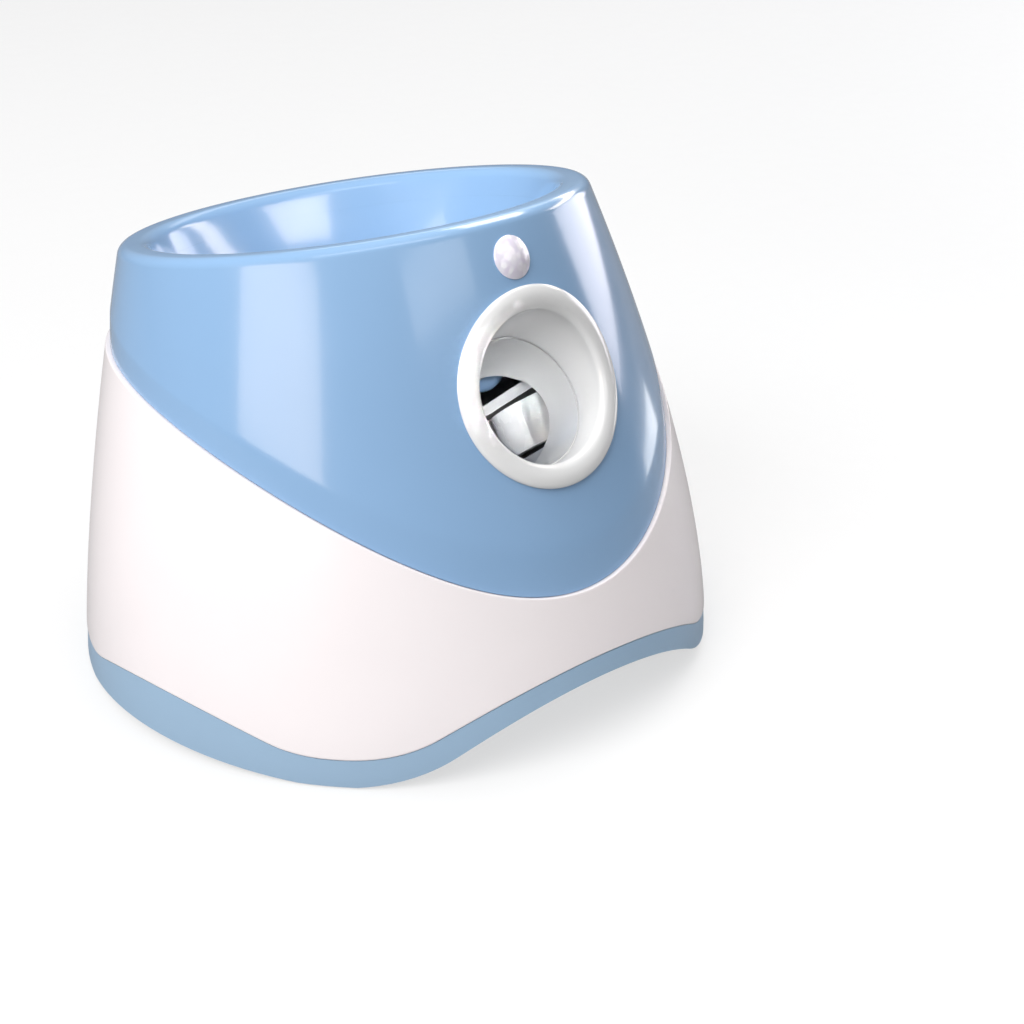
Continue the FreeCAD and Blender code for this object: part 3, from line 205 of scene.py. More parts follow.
def crisp_borders(mesh):
    """Marks every edge that has one face as sharp, so a wall's thickness doesn't bend the skin's shading."""
    edge_of = np.empty(len(mesh.loops), np.int32)
    mesh.loops.foreach_get("edge_index", edge_of)
    alone = np.bincount(edge_of, minlength=len(mesh.edges)) == 1
    mesh.edges.foreach_set("use_edge_sharp", alone)


def add_piece(mesh, body, slot, *nodes):
    """A mesh as an object with its finish, which rides on a body and takes the nodes' place."""
    piece = bpy.data.objects.new(mesh.name, mesh)
    bpy.context.scene.collection.objects.link(piece)
    mesh.materials.append(finish(slot))
    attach(piece, body)
    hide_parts(*nodes)
    return piece


def add_wall(piece, thickness):
    """Gives a skin its wall, on the inside."""
    wall = piece.modifiers.new("Wall", "SOLIDIFY")
    wall.thickness = thickness
    wall.offset = -1


def unit(vectors):
    """Vectors divided by their lengths."""
    return vectors / np.linalg.norm(vectors, axis=-1, keepdims=True)


def mixed(low, high, share):
    """Smooth step between two arrays as share runs from 0 to 1."""
    share = np.clip(share, 0, 1)
    share = share * share * (3 - 2 * share)
    return low + (high - low) * share


# ---------------------------------------------------------------- casing formulas


def section(z):
    """Half width, half depth and middle of the casing's ellipse at height z."""
    c = sizes("casing")
    t = (np.maximum(z, 0) / c.crest) ** 1.5
    return c.half_width - c.width_loss * t, c.half_depth - c.depth_loss * t, c.shift * t - c.ahead


def skin(turn, z, inset=0.0):
    """Point on the casing: x = a sin(turn), y = middle - b cos(turn), at height z, moved in by inset along
    the outward normal."""
    a, b, middle = section(z)
    point = np.stack(np.broadcast_arrays(a * np.sin(turn), middle - b * np.cos(turn), z), axis=-1)
    return point - np.asarray(inset)[..., None] * skin_normal(turn, z)


def skin_normal(turn, z):
    """Outward normal: the cross product of the casing's two directions, round and up."""
    h = 1e-5
    (a, b, _), (a1, b1, m1), (a0, b0, m0) = section(z), section(z + h), section(z - h)
    zero = np.zeros_like(turn * a)
    around = np.stack([a * np.cos(turn), b * np.sin(turn), zero], axis=-1)
    rise = np.stack([(a1 - a0) * np.sin(turn), (m1 - m0) - (b1 - b0) * np.cos(turn), zero + 2 * h], axis=-1)
    return unit(np.cross(around, rise))


def follow(turn, start, rule):
    """Height on the casing where z = rule(y), by repeated substitution."""
    z = np.full_like(turn, start)
    for _ in range(SETTLING_STEPS):
        _, b, middle = section(z)
        z = rule(middle - b * np.cos(turn))
    return z


def parting_height(turn):
    """The line between shell and band: an arc of a circle when seen from the side."""
    c = sizes("casing")

    def arc(y):
        return np.sqrt(c.parting_radius**2 - (y - c.parting_back) ** 2) - c.parting_drop

    return follow(turn, 0.1, arc)


def rim_height(turn):
    """Where the rim's tilted plane cuts the casing."""
    c = sizes("casing")
    return follow(turn, 0.22, lambda y: c.crest - math.tan(c.rim_tilt) * (y + c.crest_ahead))


def hump_line(x, rise, reach, crown):
    """A crown arc that runs out into the flat through arcs of the opposite bend."""
    foot = (reach**2 / rise + rise) / 2 - crown
    x = np.abs(x)
    turn_at = reach * crown / (crown + foot)
    top = rise - crown + np.sqrt(np.maximum(crown**2 - x**2, 0))
    low = foot - np.sqrt(np.maximum(foot**2 - (reach - np.minimum(x, reach)) ** 2, 0))
    return np.where(x < turn_at, top, low)


def trim_height(turn):
    """Upper edge of the base: low at its feet, with a hump in front and one on each side."""
    foot, front_ends, side_middle = 0.015, -0.0528, -0.0247
    z = np.full_like(turn, 0.02)
    for _ in range(SETTLING_STEPS):
        a, b, middle = section(z)
        x, y = a * np.sin(turn), middle - b * np.cos(turn)
        front = np.where(y < front_ends, hump_line(x, rise=0.032, reach=0.125, crown=0.18), 0)
        side = hump_line(y - side_middle, rise=0.0135, reach=0.08, crown=0.17)
        z = foot + np.maximum(front, side)
    return z


def wall_frame(ahead, height, lean):
    """Origin, across, up and outward directions of something set in the front wall."""
    sine, cosine = math.sin(lean), math.cos(lean)
    origin, across = np.array([0, -ahead, height]), np.array([1.0, 0, 0])
    return origin, across, np.array([0, sine, cosine]), np.array([0, -cosine, sine])


def outlet_place():
    """The wall frame of the outlet ring."""
    o = sizes("outlet")
    return wall_frame(o.ahead, o.height, o.lean)


def sensor_place():
    """The wall frame of the motion sensor's lens."""
    o = sizes("outlet")
    return wall_frame(o.sensor_ahead, o.sensor_height, o.sensor_lean)


def ring_at(place, turn, radius, lift):
    """A ring of points round the origin of a wall frame, lifted along its outward direction."""
    origin, across, up, outward = place
    flat = origin + (radius * np.cos(turn))[:, None] * across + (radius * np.sin(turn))[:, None] * up
    return flat + np.asarray(lift)[..., None] * outward


def on_wall(place, turn, radius):
    """How far a ring has to be lifted over its wall frame to lie on the casing. Newton steps on
    (x / a)^2 + ((y - middle) / b)^2 = 1."""

    def off(h):
        p = ring_at(place, turn, radius, h)
        a, b, middle = section(p[..., 2])
        return (p[..., 0] / a) ** 2 + ((p[..., 1] - middle) / b) ** 2 - 1

    h, step = np.zeros_like(turn), 1e-5
    for _ in range(12):
        value = off(h)
        h = h - value / ((off(h + step) - value) / step)
    return h


# ---------------------------------------------------------------- shader groups


def new_group(name, inputs, outputs):
    """An empty shader group with the given sockets, and its nodes by role."""
    group = bpy.data.node_groups.new(name, "ShaderNodeTree")
    for label, kind, default in inputs:
        socket = group.interface.new_socket(name=label, in_out="INPUT", socket_type=f"NodeSocket{kind}")
        socket.default_value = default
    for label, kind in outputs:
        group.interface.new_socket(name=label, in_out="OUTPUT", socket_type=f"NodeSocket{kind}")
    return group, group.nodes.new("NodeGroupInput"), group.nodes.new("NodeGroupOutput")


def wire(tree, kind, links=None, **settings):
    """Adds a node; links maps its input names or numbers to sockets or values."""
    node = tree.nodes.new(kind)
    for key, setting in settings.items():
        setattr(node, key, setting)
    for key, source in (links or {}).items():
        if isinstance(source, bpy.types.NodeSocket):
            tree.links.new(source, node.inputs[key])
        else:
            node.inputs[key].default_value = source
    return node


def noise(tree, vector, scale, detail=2.0, roughness=0.5):
    """A cloudy value round 0.5."""
    links = {"Vector": vector, "Scale": scale, "Detail": detail, "Roughness": roughness}
    return wire(tree, "ShaderNodeTexNoise", links).outputs["Fac"]


def ramp(tree, source, low, high, to_low=0.0, to_high=1.0):
    """The source's range from low to high mapped to another range."""
    links = {"Value": source, "From Min": low, "From Max": high, "To Min": to_low, "To Max": to_high}
    return wire(tree, "ShaderNodeMapRange", links, clamp=True).outputs[0]


def combine(tree, operation, *values):
    """A maths node's result."""
    return wire(tree, "ShaderNodeMath", dict(enumerate(values)), operation=operation).outputs[0]


def blend_colours(tree, share, first, second):
    """A mix of two colours. The mix node keeps its colour sockets at 6 and 7, and its colour result at 2."""
    return wire(tree, "ShaderNodeMix", {0: share, 6: first, 7: second}, data_type="RGBA").outputs[2]


def object_coordinates(tree):
    """Places in metres, which move with the piece."""
    return wire(tree, "ShaderNodeTexCoord").outputs["Object"]


def moulded_group():
    """Moulded plastic: slow clouds of tone, faint handling marks in the gloss and a fine skin texture."""
    group, given, out = new_group(
        "Moulded skin",
        [("Base", "Color", (0.5, 0.5, 0.5, 1)), ("Tone", "Color", (0.5, 0.5, 0.5, 1)),
         ("Gloss low", "Float", 0.15), ("Gloss high", "Float", 0.3), ("Grain", "Float", 900.0)],
        [("Colour", "Color"), ("Roughness", "Float"), ("Height", "Float")],
    )
    at = object_coordinates(group)
    clouds = ramp(group, noise(group, at, 11.0, 3.0), 0.3, 0.7)
    marks = ramp(group, noise(group, at, 60.0, 3.0, 0.55), 0.35, 0.75)
    fine = noise(group, at, 2600.0, 1.0)
    grain = noise(group, at, given.outputs["Grain"], 2.0)
    tint = blend_colours(group, clouds, given.outputs["Base"], given.outputs["Tone"])
    gloss = ramp(group, marks, 0.0, 1.0, given.outputs["Gloss low"], given.outputs["Gloss high"])
    height = combine(group, "MULTIPLY_ADD", fine, 0.25, grain)
    group.links.new(tint, out.inputs["Colour"])
    group.links.new(gloss, out.inputs["Roughness"])
    group.links.new(height, out.inputs["Height"])
    return group


def brushed_group():
    """Machined or drawn metal: long fine lines along one direction, and blotches in the gloss."""
    group, given, out = new_group(
        "Drawn metal",
        [("Base", "Color", (0.5, 0.5, 0.5, 1)), ("Dull", "Color", (0.4, 0.4, 0.4, 1)),
         ("Stretch", "Vector", (60.0, 2500.0, 2500.0)), ("Gloss low", "Float", 0.2),
         ("Gloss high", "Float", 0.45)],
        [("Colour", "Color"), ("Roughness", "Float"), ("Height", "Float")],
    )
    at = object_coordinates(group)
    links = {0: at, 1: given.outputs["Stretch"]}
    stretched = wire(group, "ShaderNodeVectorMath", links, operation="MULTIPLY").outputs[0]
    lines = noise(group, stretched, 1.0, 3.0, 0.6)
    blotches = ramp(group, noise(group, at, 120.0, 3.0), 0.35, 0.7)
    both = combine(group, "MULTIPLY", lines, blotches)
    tint = blend_colours(group, both, given.outputs["Base"], given.outputs["Dull"])
    gloss = ramp(group, both, 0.0, 1.0, given.outputs["Gloss low"], given.outputs["Gloss high"])
    group.links.new(tint, out.inputs["Colour"])
    group.links.new(gloss, out.inputs["Roughness"])
    group.links.new(lines, out.inputs["Height"])
    return group


def facet_group():
    """Milky lens: cells of a faceted inner face as height, and lighter cells in the colour as painted glints
    off those facets.
    """
    group, given, out = new_group(
        "Lens facets and painted glints",
        [("Base", "Color", (0.8, 0.8, 0.9, 1)), ("Bright", "Color", (0.95, 0.93, 1.0, 1)),
         ("Cells", "Float", 260.0)],
        [("Colour", "Color"), ("Height", "Float")],
    )
    at = object_coordinates(group)
    links = {"Vector": at, "Scale": given.outputs["Cells"], "Randomness": 0.55}
    cells = wire(group, "ShaderNodeTexVoronoi", links, feature="SMOOTH_F1")
    glint_pick = wire(group, "ShaderNodeSeparateColor", {0: cells.outputs["Color"]}).outputs[0]
    share = ramp(group, glint_pick, 0.3, 0.75)
    # painted glints: lighter cells in the colour stand in for light reflected by the inner facets
    tint = blend_colours(group, share, given.outputs["Base"], given.outputs["Bright"])
    group.links.new(tint, out.inputs["Colour"])
    group.links.new(cells.outputs["Distance"], out.inputs["Height"])
    return group


SHARED = {}


def shared(name, maker):
    """A shader group, made when it is first asked for."""
    if name not in SHARED:
        SHARED[name] = maker()
    return SHARED[name]


def finish_from(name, group, inputs, roughness=None, bump=0.1, distance=0.0002, **shader_values):
    """A material: one Principled shader whose varying sockets come from a shared group. Roughness comes from
    the group too, unless it is given as one value."""
    material = bpy.data.materials.new(name)
    material.use_nodes = True
    tree = material.node_tree
    tree.nodes.clear()
    pattern = wire(tree, "ShaderNodeGroup", node_tree=group)
    for label, amount in inputs.items():
        pattern.inputs[label].default_value = amount
    shader = wire(tree, "ShaderNodeBsdfPrincipled", {"Base Color": pattern.outputs["Colour"]})
    if roughness is None:
        tree.links.new(pattern.outputs["Roughness"], shader.inputs["Roughness"])
    else:
        shader.inputs["Roughness"].default_value = roughness
    relief = {"Strength": bump, "Distance": distance, "Height": pattern.outputs["Height"]}
    tree.links.new(wire(tree, "ShaderNodeBump", relief).outputs[0], shader.inputs["Normal"])
    for label, amount in shader_values.items():
        shader.inputs[label.replace("_", " ").title().replace("Ior", "IOR")].default_value = amount
    output = tree.nodes.new("ShaderNodeOutputMaterial")
    tree.links.new(shader.outputs[0], output.inputs[0])
    return material


def rgba(value, share=1.0):
    """A colour with its alpha, darker when the share is under 1."""
    return (value[0] * share, value[1] * share, value[2] * share, 1.0)


def plastic(name, base, low, high, grain=900.0, bump=0.04, tone=0.97, **more):
    """Moulded plastic whose roughness varies from low to high."""
    inputs = {"Base": rgba(base), "Tone": rgba(base, tone), "Gloss low": low, "Gloss high": high,
              "Grain": grain}
    return finish_from(name, shared("moulded", moulded_group), inputs, bump=bump, **more)


def metal(name, base, dull, stretch, low, high):
    """Metal with lines along the axis that has the least stretch, and roughness from low to high."""
    inputs = {"Base": rgba(base), "Dull": rgba(dull), "Stretch": stretch, "Gloss low": low,
              "Gloss high": high}
    return finish_from(name, shared("brushed", brushed_group), inputs, bump=0.06, metallic=1.0)


def milky(name, base, painted_glint, cells):
    """Milky plastic over a faceted face, with painted glints off the facets in its colour."""
    inputs = {"Base": rgba(base), "Bright": rgba(painted_glint), "Cells": cells}
    return finish_from(name, shared("facets", facet_group), inputs, roughness=0.22, bump=0.25,
                       distance=0.0006, subsurface_weight=0.35, subsurface_radius=(0.004, 0.003, 0.005),
                       coat_weight=0.3)


def plastics():
    """Makers of the plastic finishes by slot: name, colour, least and greatest roughness."""
    f = sizes("finish")
    return {
        "blue_shell": lambda: plastic("Blue gloss shell", f.blue, 0.16, 0.2,
                                      coat_weight=0.3, coat_roughness=0.07),
        "white_shell": lambda: plastic("White gloss band", f.white, 0.26, 0.26,
                                       coat_weight=0.15, coat_roughness=0.1),
        "blue_base": lambda: plastic("Blue base moulding", f.base_blue, 0.3, 0.35, specular_ior_level=0.2),
        "white_trim": lambda: plastic("White outlet moulding", f.ring_white, 0.18, 0.22,
                                      coat_weight=0.25, coat_roughness=0.06),
        "drum_plastic": lambda: plastic("Drum moulding", (0.8, 0.8, 0.8), 0.3, 0.45),
        "tread_foam": lambda: plastic("Wheel tread", (0.84, 0.84, 0.84), 0.2, 0.34, grain=1800.0, bump=0.1,
                                      subsurface_weight=0.1, subsurface_radius=(0.002, 0.002, 0.002)),
        # the lens's second colour is the painted glint of its inner facets
        "lens_plastic": lambda: milky("Milky lens", f.lens, (0.93, 0.9, 0.97), 330.0),
        "button_blue": lambda: plastic("Button moulding", f.button, 0.2, 0.34, coat_weight=0.2),
        "panel_plastic": lambda: plastic("Panel moulding", (0.5, 0.53, 0.58), 0.32, 0.46,
                                         grain=1500.0, bump=0.12),
        "frame_plastic": lambda: plastic("Grey frame moulding", (0.5, 0.51, 0.53), 0.42, 0.6,
                                         grain=1500.0, bump=0.2, tone=0.93),
        "feet_rubber": lambda: plastic("Feet rubber", (0.05, 0.05, 0.052), 0.62, 0.8,
                                       grain=1200.0, bump=0.35, tone=1.5),
        "part_black": lambda: plastic("Black moulding", (0.035, 0.035, 0.037), 0.35, 0.55,
                                      grain=1700.0, bump=0.15, tone=1.4),
        "lamp_clear": lambda: plastic("Lamp lens", (0.62, 0.85, 0.62), 0.08, 0.16,
                                      bump=0.02, coat_weight=0.5),
        "circuit_board": lambda: plastic("Solder mask", (0.035, 0.2, 0.09), 0.28, 0.44,
                                         grain=700.0, bump=0.15, tone=0.6),
    }


# slot: name, colour, dull colour, stretch along the three axes, least and greatest roughness
METALS = {
    "motor_steel": ("Motor steel", (0.6, 0.6, 0.61), (0.36, 0.36, 0.37), (900, 900, 60), 0.26, 0.46),
    "shaft_steel": ("Ground steel", (0.76, 0.76, 0.77), (0.52, 0.52, 0.53), (1500, 120, 1500), 0.14, 0.3),
    "screw_steel": ("Zinc plate", (0.66, 0.66, 0.68), (0.42, 0.42, 0.45), (700, 700, 700), 0.24, 0.42),
    "bush_brass": ("Turned brass", (0.78, 0.57, 0.25), (0.5, 0.34, 0.13), (120, 1600, 1600), 0.2, 0.38),
    "cell_metal": ("Coated can", (0.34, 0.35, 0.38), (0.2, 0.2, 0.22), (1200, 90, 90), 0.3, 0.45),
}
FINISHES = {}


def finish(slot):
    """The material of a slot, made when it is first asked for."""
    if slot not in FINISHES:
        FINISHES[slot] = metal(*METALS[slot]) if slot in METALS else plastics()[slot]()
    return FINISHES[slot]


# ---------------------------------------------------------------- pieces


class LauncherOperator(bpy.types.Operator):
    """Common options of the launcher's operators"""

    bl_options = {"REGISTER", "UNDO"}


class LAUNCHER_OT_upper_shell(LauncherOperator):
    """Upper shell: from a tucked-in lower edge over a soft crease, up the casing, over the rolled rim and
    down its inner return. Rows are heights on the casing, then arcs of the two rim fillets"""

    bl_idname = "launcher.upper_shell"
    bl_label = "Upper shell"

    def execute(self, context):
        c = sizes("casing")
        turn = turns(c.columns)
        low = parting_height(turn) + c.seam
        rise = c.crease + c.crease_more * np.cos(turn) ** 2
        arcs = rim_arcs(turn)
        edge = ((0.0, 0.0012), (0.00004, 0.0003), (0.0002, 0.0001), (0.0006, 0.0))  # height and inset
        rows = [skin(turn, low + up, inset + tucked(low + up, low, rise)) for up, inset in edge]
        lowest, top = low + 0.0009, arcs[0, :, 2]
        # rows under the crease, closer ones over it, and the wall up to the rim, as shares of the height
        under, over = np.linspace(0.004, 0.16, 10), np.linspace(0.165, 0.26, 9)
        wall = np.linspace(0.27, 1, 78)
        for share in (*under, *over[1:], *wall[:-1]):
            z = lowest + share * (top - lowest)
            rows.append(skin(turn, z, tucked(z, low, rise)))
        points, quads = lay_grid(np.concatenate([np.array(rows), arcs]))
        for place, radius in ((outlet_place(), OUTLET_HOLE), (sensor_place(), SENSOR_HOLE)):
            quads = quads[clear_of_hole(points[quads].mean(axis=1), place, radius)]
        add_wall(make_skin("upper_shell", points, quads, "blue_shell"), SHELL_WALL)
        return {"FINISHED"}


def clear_of_hole(middles, place, radius):
    """Which faces' middles lie off a round hole in the front wall."""
    origin, across, up, outward = place
    near = middles - origin
    beside = np.hypot(near @ across, near @ up) > radius
    return beside | (middles[:, 1] > 0) | (np.abs(near @ outward) > HOLE_DEPTH)


def tucked(z, low, rise):
    """Inset of the shell below its crease: a straight lean inwards with a soft start."""
    share, softness = 1 - (z - low) / rise, 0.003
    return sizes("casing").tuck * (share + np.sqrt(share**2 + softness)) / 2


def rim_ellipse(turn, depth):
    """The bowl's inner wall at a depth below the rim plane: an ellipse that the draft makes smaller."""
    c, b = sizes("casing"), sizes("bowl")
    sine, cosine = math.sin(c.rim_tilt), math.cos(c.rim_tilt)
    shrink = c.rim_width + b.draft * depth / b.knee
    across = (b.half_width - shrink) * np.sin(turn)
    along = -(b.half_length - shrink) * np.cos(turn)
    y = b.middle_back + along * cosine - depth * sine
    z = b.middle_up - along * sine - depth * cosine
    return np.stack([across, y, z], axis=-1)


def fillet(corner, first, second, radius, count):
    """Rows round the corner E of two planes with unit normals p and q: an arc of radius r about
    E - r (p + q) / (1 + p.q), swept from p to q."""
    cosine = np.sum(first * second, axis=1, keepdims=True)
    centre = corner - radius * (first + second) / (1 + cosine)
    bend = np.arccos(np.clip(cosine, -1, 1))
    share = np.linspace(0, 1, count)[:, None, None]
    sweep = np.sin((1 - share) * bend) * first + np.sin(share * bend) * second
    return centre + radius * sweep / np.sin(bend)


def rim_arcs(turn):
    """The rolled rim: a fillet from the casing's wall to the rim's top, one from there to the bowl's wall,
    and the return, which runs down that wall."""
    c, b = sizes("casing"), sizes("bowl")
    z = rim_height(turn)
    edge, normal = skin(turn, z), skin_normal(turn, z)
    up = np.broadcast_to([0, math.sin(c.rim_tilt), math.cos(c.rim_tilt)], normal.shape)
    corner = rim_ellipse(turn, 0.0)
    tangent = unit(np.roll(corner, -1, axis=0) - np.roll(corner, 1, axis=0))
    slope = math.atan(b.draft / b.knee)
    wall = unit(unit(np.cross(up, tangent)) * math.cos(slope) + up * math.sin(slope))
    outer, inner = fillet(edge, normal, up, c.rim_outer, 9), fillet(corner, up, wall, c.rim_inner, 11)
    return_depths = np.array([0.009, 0.0115, c.rim_lip])[:, None]
    return np.concatenate([outer, inner, rim_ellipse(turn, return_depths)])


class LAUNCHER_OT_hopper_bowl(LauncherOperator):
    """Hopper bowl: tilted ellipses from the rim's return down to the throat. Over the floor their size
    follows a quarter of a superellipse, (1 - (1 - height)^power)^(1 / power), with a smooth hump where the
    barrel passes under it, and a collar hangs from the throat"""

    bl_idname = "launcher.hopper_bowl"
    bl_label = "Hopper bowl"

    def execute(self, context):
        c, b = sizes("casing"), sizes("bowl")
        turn = turns(c.columns)
        wall = rim_ellipse(turn, np.linspace(c.rim_lip + 0.00002, 0.8 * b.knee, 8)[:, None])
        knee_back = b.middle_back - b.knee * math.sin(c.rim_tilt)
        knee_up = b.middle_up - b.knee * math.cos(c.rim_tilt)
        share = np.cos(np.linspace(0.16, math.pi / 2, 64))[:, None] ** 1.25  # height, closer near the throat
        spread = (1 - (1 - share) ** b.power) ** (1 / b.power)
        wide = b.throat + (b.half_width - c.rim_width - b.draft - b.throat) * spread
        deep = b.throat + (b.half_length - c.rim_width - b.draft - b.throat) * spread
        y = -b.throat_ahead + (knee_back + b.throat_ahead) * spread
        z = b.throat_up + (knee_up - b.throat_up) * share
        tilt, along = c.rim_tilt * share, -deep * np.cos(turn)
        floor = np.stack([wide * np.sin(turn), y + along * np.cos(tilt), z - along * np.sin(tilt)], axis=-1)
        points = np.concatenate([wall, floor])
        first, last = 5, 20  # the rows round the knee, which are softened
        for _ in range(6):
            before, after = points[first - 1:last - 1], points[first + 1:last + 1]
            points[first:last] = 0.25 * before + 0.5 * points[first:last] + 0.25 * after
        points[..., 2] = over_hump(points, b.hump, 0.0035)
        collar, collar_end, hump_wall = points[-1:].copy(), 0.1295, 0.003
        hump = over_hump(collar, b.hump - hump_wall, 0.001, floor=FAR_BELOW)
        collar[..., 2] = np.maximum(collar_end, hump)
        bend = points[-1:] - [0, 0, 0.0012]
        bend[..., 2] = np.maximum(bend[..., 2], collar[..., 2] + 0.0006)
        points = np.concatenate([points, bend, collar])
        add_wall(make_skin("hopper_bowl", *lay_grid(points[::-1, ::-1]), "blue_shell"), SHELL_WALL)
        return {"FINISHED"}


def over_hump(points, radius, soft, floor=None):
    """Height of the higher of the floor and a tube laid round the barrel, with a soft inner corner."""
    aim, fade = sizes("outlet").aim, 0.002
    x, y, z = points[..., 0], points[..., 1], points[..., 2]
    over = np.sqrt(np.maximum(radius**2 - x**2, 0))
    tube = WHEELS_UP + (over - math.sin(aim) * (y + WHEELS_AHEAD)) / math.cos(aim)
    inside = np.clip((radius - np.abs(x)) / fade, 0, 1)
    tube = np.where(inside > 0, tube, FAR_BELOW)
    ground = z if floor is None else np.full_like(z, floor)
    return (ground + tube + np.sqrt((ground - tube) ** 2 + soft**2 * inside)) / 2


class LAUNCHER_OT_mid_band(LauncherOperator):
    """White band, which stands a little proud: casing heights from the base's wavy edge to the parting
    line, with small rounded edges and a straight-sided opening for the control panel. Towards the back the
    columns and rows bend until they follow the opening: a point of the casing x across lies at the angle
    pi - arcsin(x / half width)"""

    bl_idname = "launcher.mid_band"
    bl_label = "Middle band"

    def execute(self, context):
        c = sizes("casing")
        columns = 312
        turn = turns(columns)
        low, high = trim_height(turn) + c.seam, parting_height(turn) - c.seam
        # the opening: heights, half width, its first column's angle, and rows of faces under and beside it
        sill, lintel, half, jamb, under, beside = 0.0698, 0.1142, 0.0422, 2.88, 16, 12
        left, right = (np.argmin(np.abs(turn - side)) for side in (jamb, TAU - jamb))
        straight_to, fade = 0.42, 0.5  # how far from the back the bend is whole, and fades
        behind = mixed(1.0, 0.0, (np.abs(turn - math.pi) - straight_to) / fade)

        at_sill, at_lintel, edge = 0.4, 0.72, 0.0013  # shares of the height, and the edges' height
        parts = np.linspace(0, at_sill, under + 1), np.linspace(at_sill, at_lintel, beside + 1)[1:]
        share = np.concatenate([*parts, np.linspace(at_lintel, 1, 13)[1:]])[:, None]
        bottom, top = low + edge, high - edge
        plain = bottom + share * (top - bottom)
        below = bottom + share / at_sill * (sill - bottom)
        level = sill + (share - at_sill) / (at_lintel - at_sill) * (lintel - sill)
        above = lintel + (share - at_lintel) / (1 - at_lintel) * (top - lintel)
        panel = np.where(share < at_sill, below, np.where(share < at_lintel, level, above))
        z = plain + (panel - plain) * behind
        upright = half / np.sin(turn[left]) * np.sin(math.pi - turn)
        wanted = math.pi - np.arcsin(np.clip(upright / section(z)[0], -1, 1))
        across = turn + (wanted - turn) * behind

        lower = ((0, 0.0022), (0.00005, 0.0008), (0.00035, 0.0002), (0.0008, 0))  # height and inset
        upper = ((0.0008, 0), (0.0003, 0.0001), (0.00005, 0.0004), (0, 0.0036))
        rows = [skin(across[0], low + up, inset - c.proud) for up, inset in lower]
        rows += [*skin(across, z, -c.proud)]
        rows += [skin(across[-1], high - down, inset - c.proud) for down, inset in upper]
        points, quads = lay_grid(np.array(rows))
        row, column = np.divmod(np.arange(len(quads)), columns)
        row -= len(lower) + under
        opening = (row >= 0) & (row < beside) & (column >= left) & (column < right)
        add_wall(make_skin("mid_band", points, quads[~opening], "white_shell"), BAND_WALL)
        return {"FINISHED"}


class LAUNCHER_OT_outlet_ring(LauncherOperator):
    """Outlet ring: a closed profile carried round the outlet. Its face follows the casing and is slightly
    domed, its lip is a soft arc, and from there a curve runs in to the barrel's mouth and back outside"""

    bl_idname = "launcher.outlet_ring"
    bl_label = "Outlet ring"

    def execute(self, context):
        o = sizes("outlet")
        turn, place, barrel = turns(192), outlet_place(), wall_frame(o.ahead, o.height, o.aim)
        outside, inside = on_wall(place, turn, o.ring), on_wall(place, turn, o.lip)

        def ring(radius, rise):
            share = np.clip((radius - o.lip) / (o.ring - o.lip), 0, 1)
            return ring_at(place, turn, radius, inside + (outside - inside) * share + rise)

        def mouth(radius, depth):
            return ring_at(barrel, turn, radius, -depth)

        # inwards from the ring's outside, and height
        face = ((0.0004, 0), (0, 0.0008), (0.0002, 0.0016), (0.0009, 0.0022),
                (0.002, 0.0026), (0.0036, 0.0029), (0.0052, 0.003), (0.0068, 0.0028))
        rows = [ring(o.ring - inwards, up) for inwards, up in face]
        bend, crown = 0.0046, 0.0026  # the lip's radius and its height over the casing
        for part in np.linspace(0, math.pi / 2, 9)[1:]:
            rows.append(ring(o.lip + bend - bend * math.sin(part), crown - bend * (1 - math.cos(part))))
        start, end = rows[-1], mouth(o.bore, o.depth)
        reach = np.linalg.norm(end - start, axis=1, keepdims=True)
        leave, arrive = start - place[3] * reach * 0.3, end + barrel[3] * reach * 0.35
        t = np.linspace(0, 1, 15)[1:, None, None]
        duct = (1 - t) ** 3 * start + 3 * t * (1 - t) ** 2 * leave + 3 * t**2 * (1 - t) * arrive + t**3 * end
        rows += [*duct]
        socket, sleeve, sleeve_end = 0.0366, 0.0392, 0.0262  # round the barrel's front end
        shoulder = o.depth + 0.0004
        rows += [mouth(o.bore + 0.0003, shoulder), mouth(socket, shoulder), mouth(socket, sleeve_end),
                 mouth(sleeve, sleeve_end), mouth(sleeve + 0.0002, sleeve_end - 0.0006)]
        rows += [ring(o.lip + 0.0028, -0.0035), ring(o.lip + 0.003, -0.0001), ring(o.lip + 0.004, 0.0003)]
        make_skin("outlet_bezel", *lay_grid(np.array(rows)[:, ::-1], loop=True), "white_trim")
        return {"FINISHED"}


class LAUNCHER_OT_sensor_lens(LauncherOperator):
    """Sensor lens: a cap over the wall with a small rounded foot, and its tube behind. At a share of the
    foot's radius the cap's height is dome (1 - share^2)"""

    bl_idname = "launcher.sensor_lens"
    bl_label = "Sensor lens"

    def execute(self, context):
        o = sizes("outlet")
        turn, place = turns(64), sensor_place()
        base = on_wall(place, turn, o.lens)

        def ring(radius, rise, follow_wall=0.0):
            return ring_at(place, turn, radius, rise + follow_wall * base)

        tube, tube_end, foot = 0.0095, -0.004, 0.0006
        rows = [ring(tube, tube_end), ring(o.lens - 0.0001, tube_end), ring(o.lens - 0.0001, 0.0001, 1.0),
                ring(o.lens, 0.0005, 1.0)]
        for share in np.linspace(0.985, 0, 18):
            rows.append(ring(max(o.lens * share, 1e-5), foot + (o.dome - foot) * (1 - share**2), share**4))
        weld(make_skin("sensor_lens", *lay_grid(np.array(rows)), "lens_plastic").data, 3e-5)
        return {"FINISHED"}


def weld(mesh, distance=1e-5):
    """Merges doubled points of a mesh."""
    work = bmesh.new()
    work.from_mesh(mesh)
    bmesh.ops.remove_doubles(work, verts=work.verts, dist=distance)
    work.to_mesh(mesh)
    work.free()


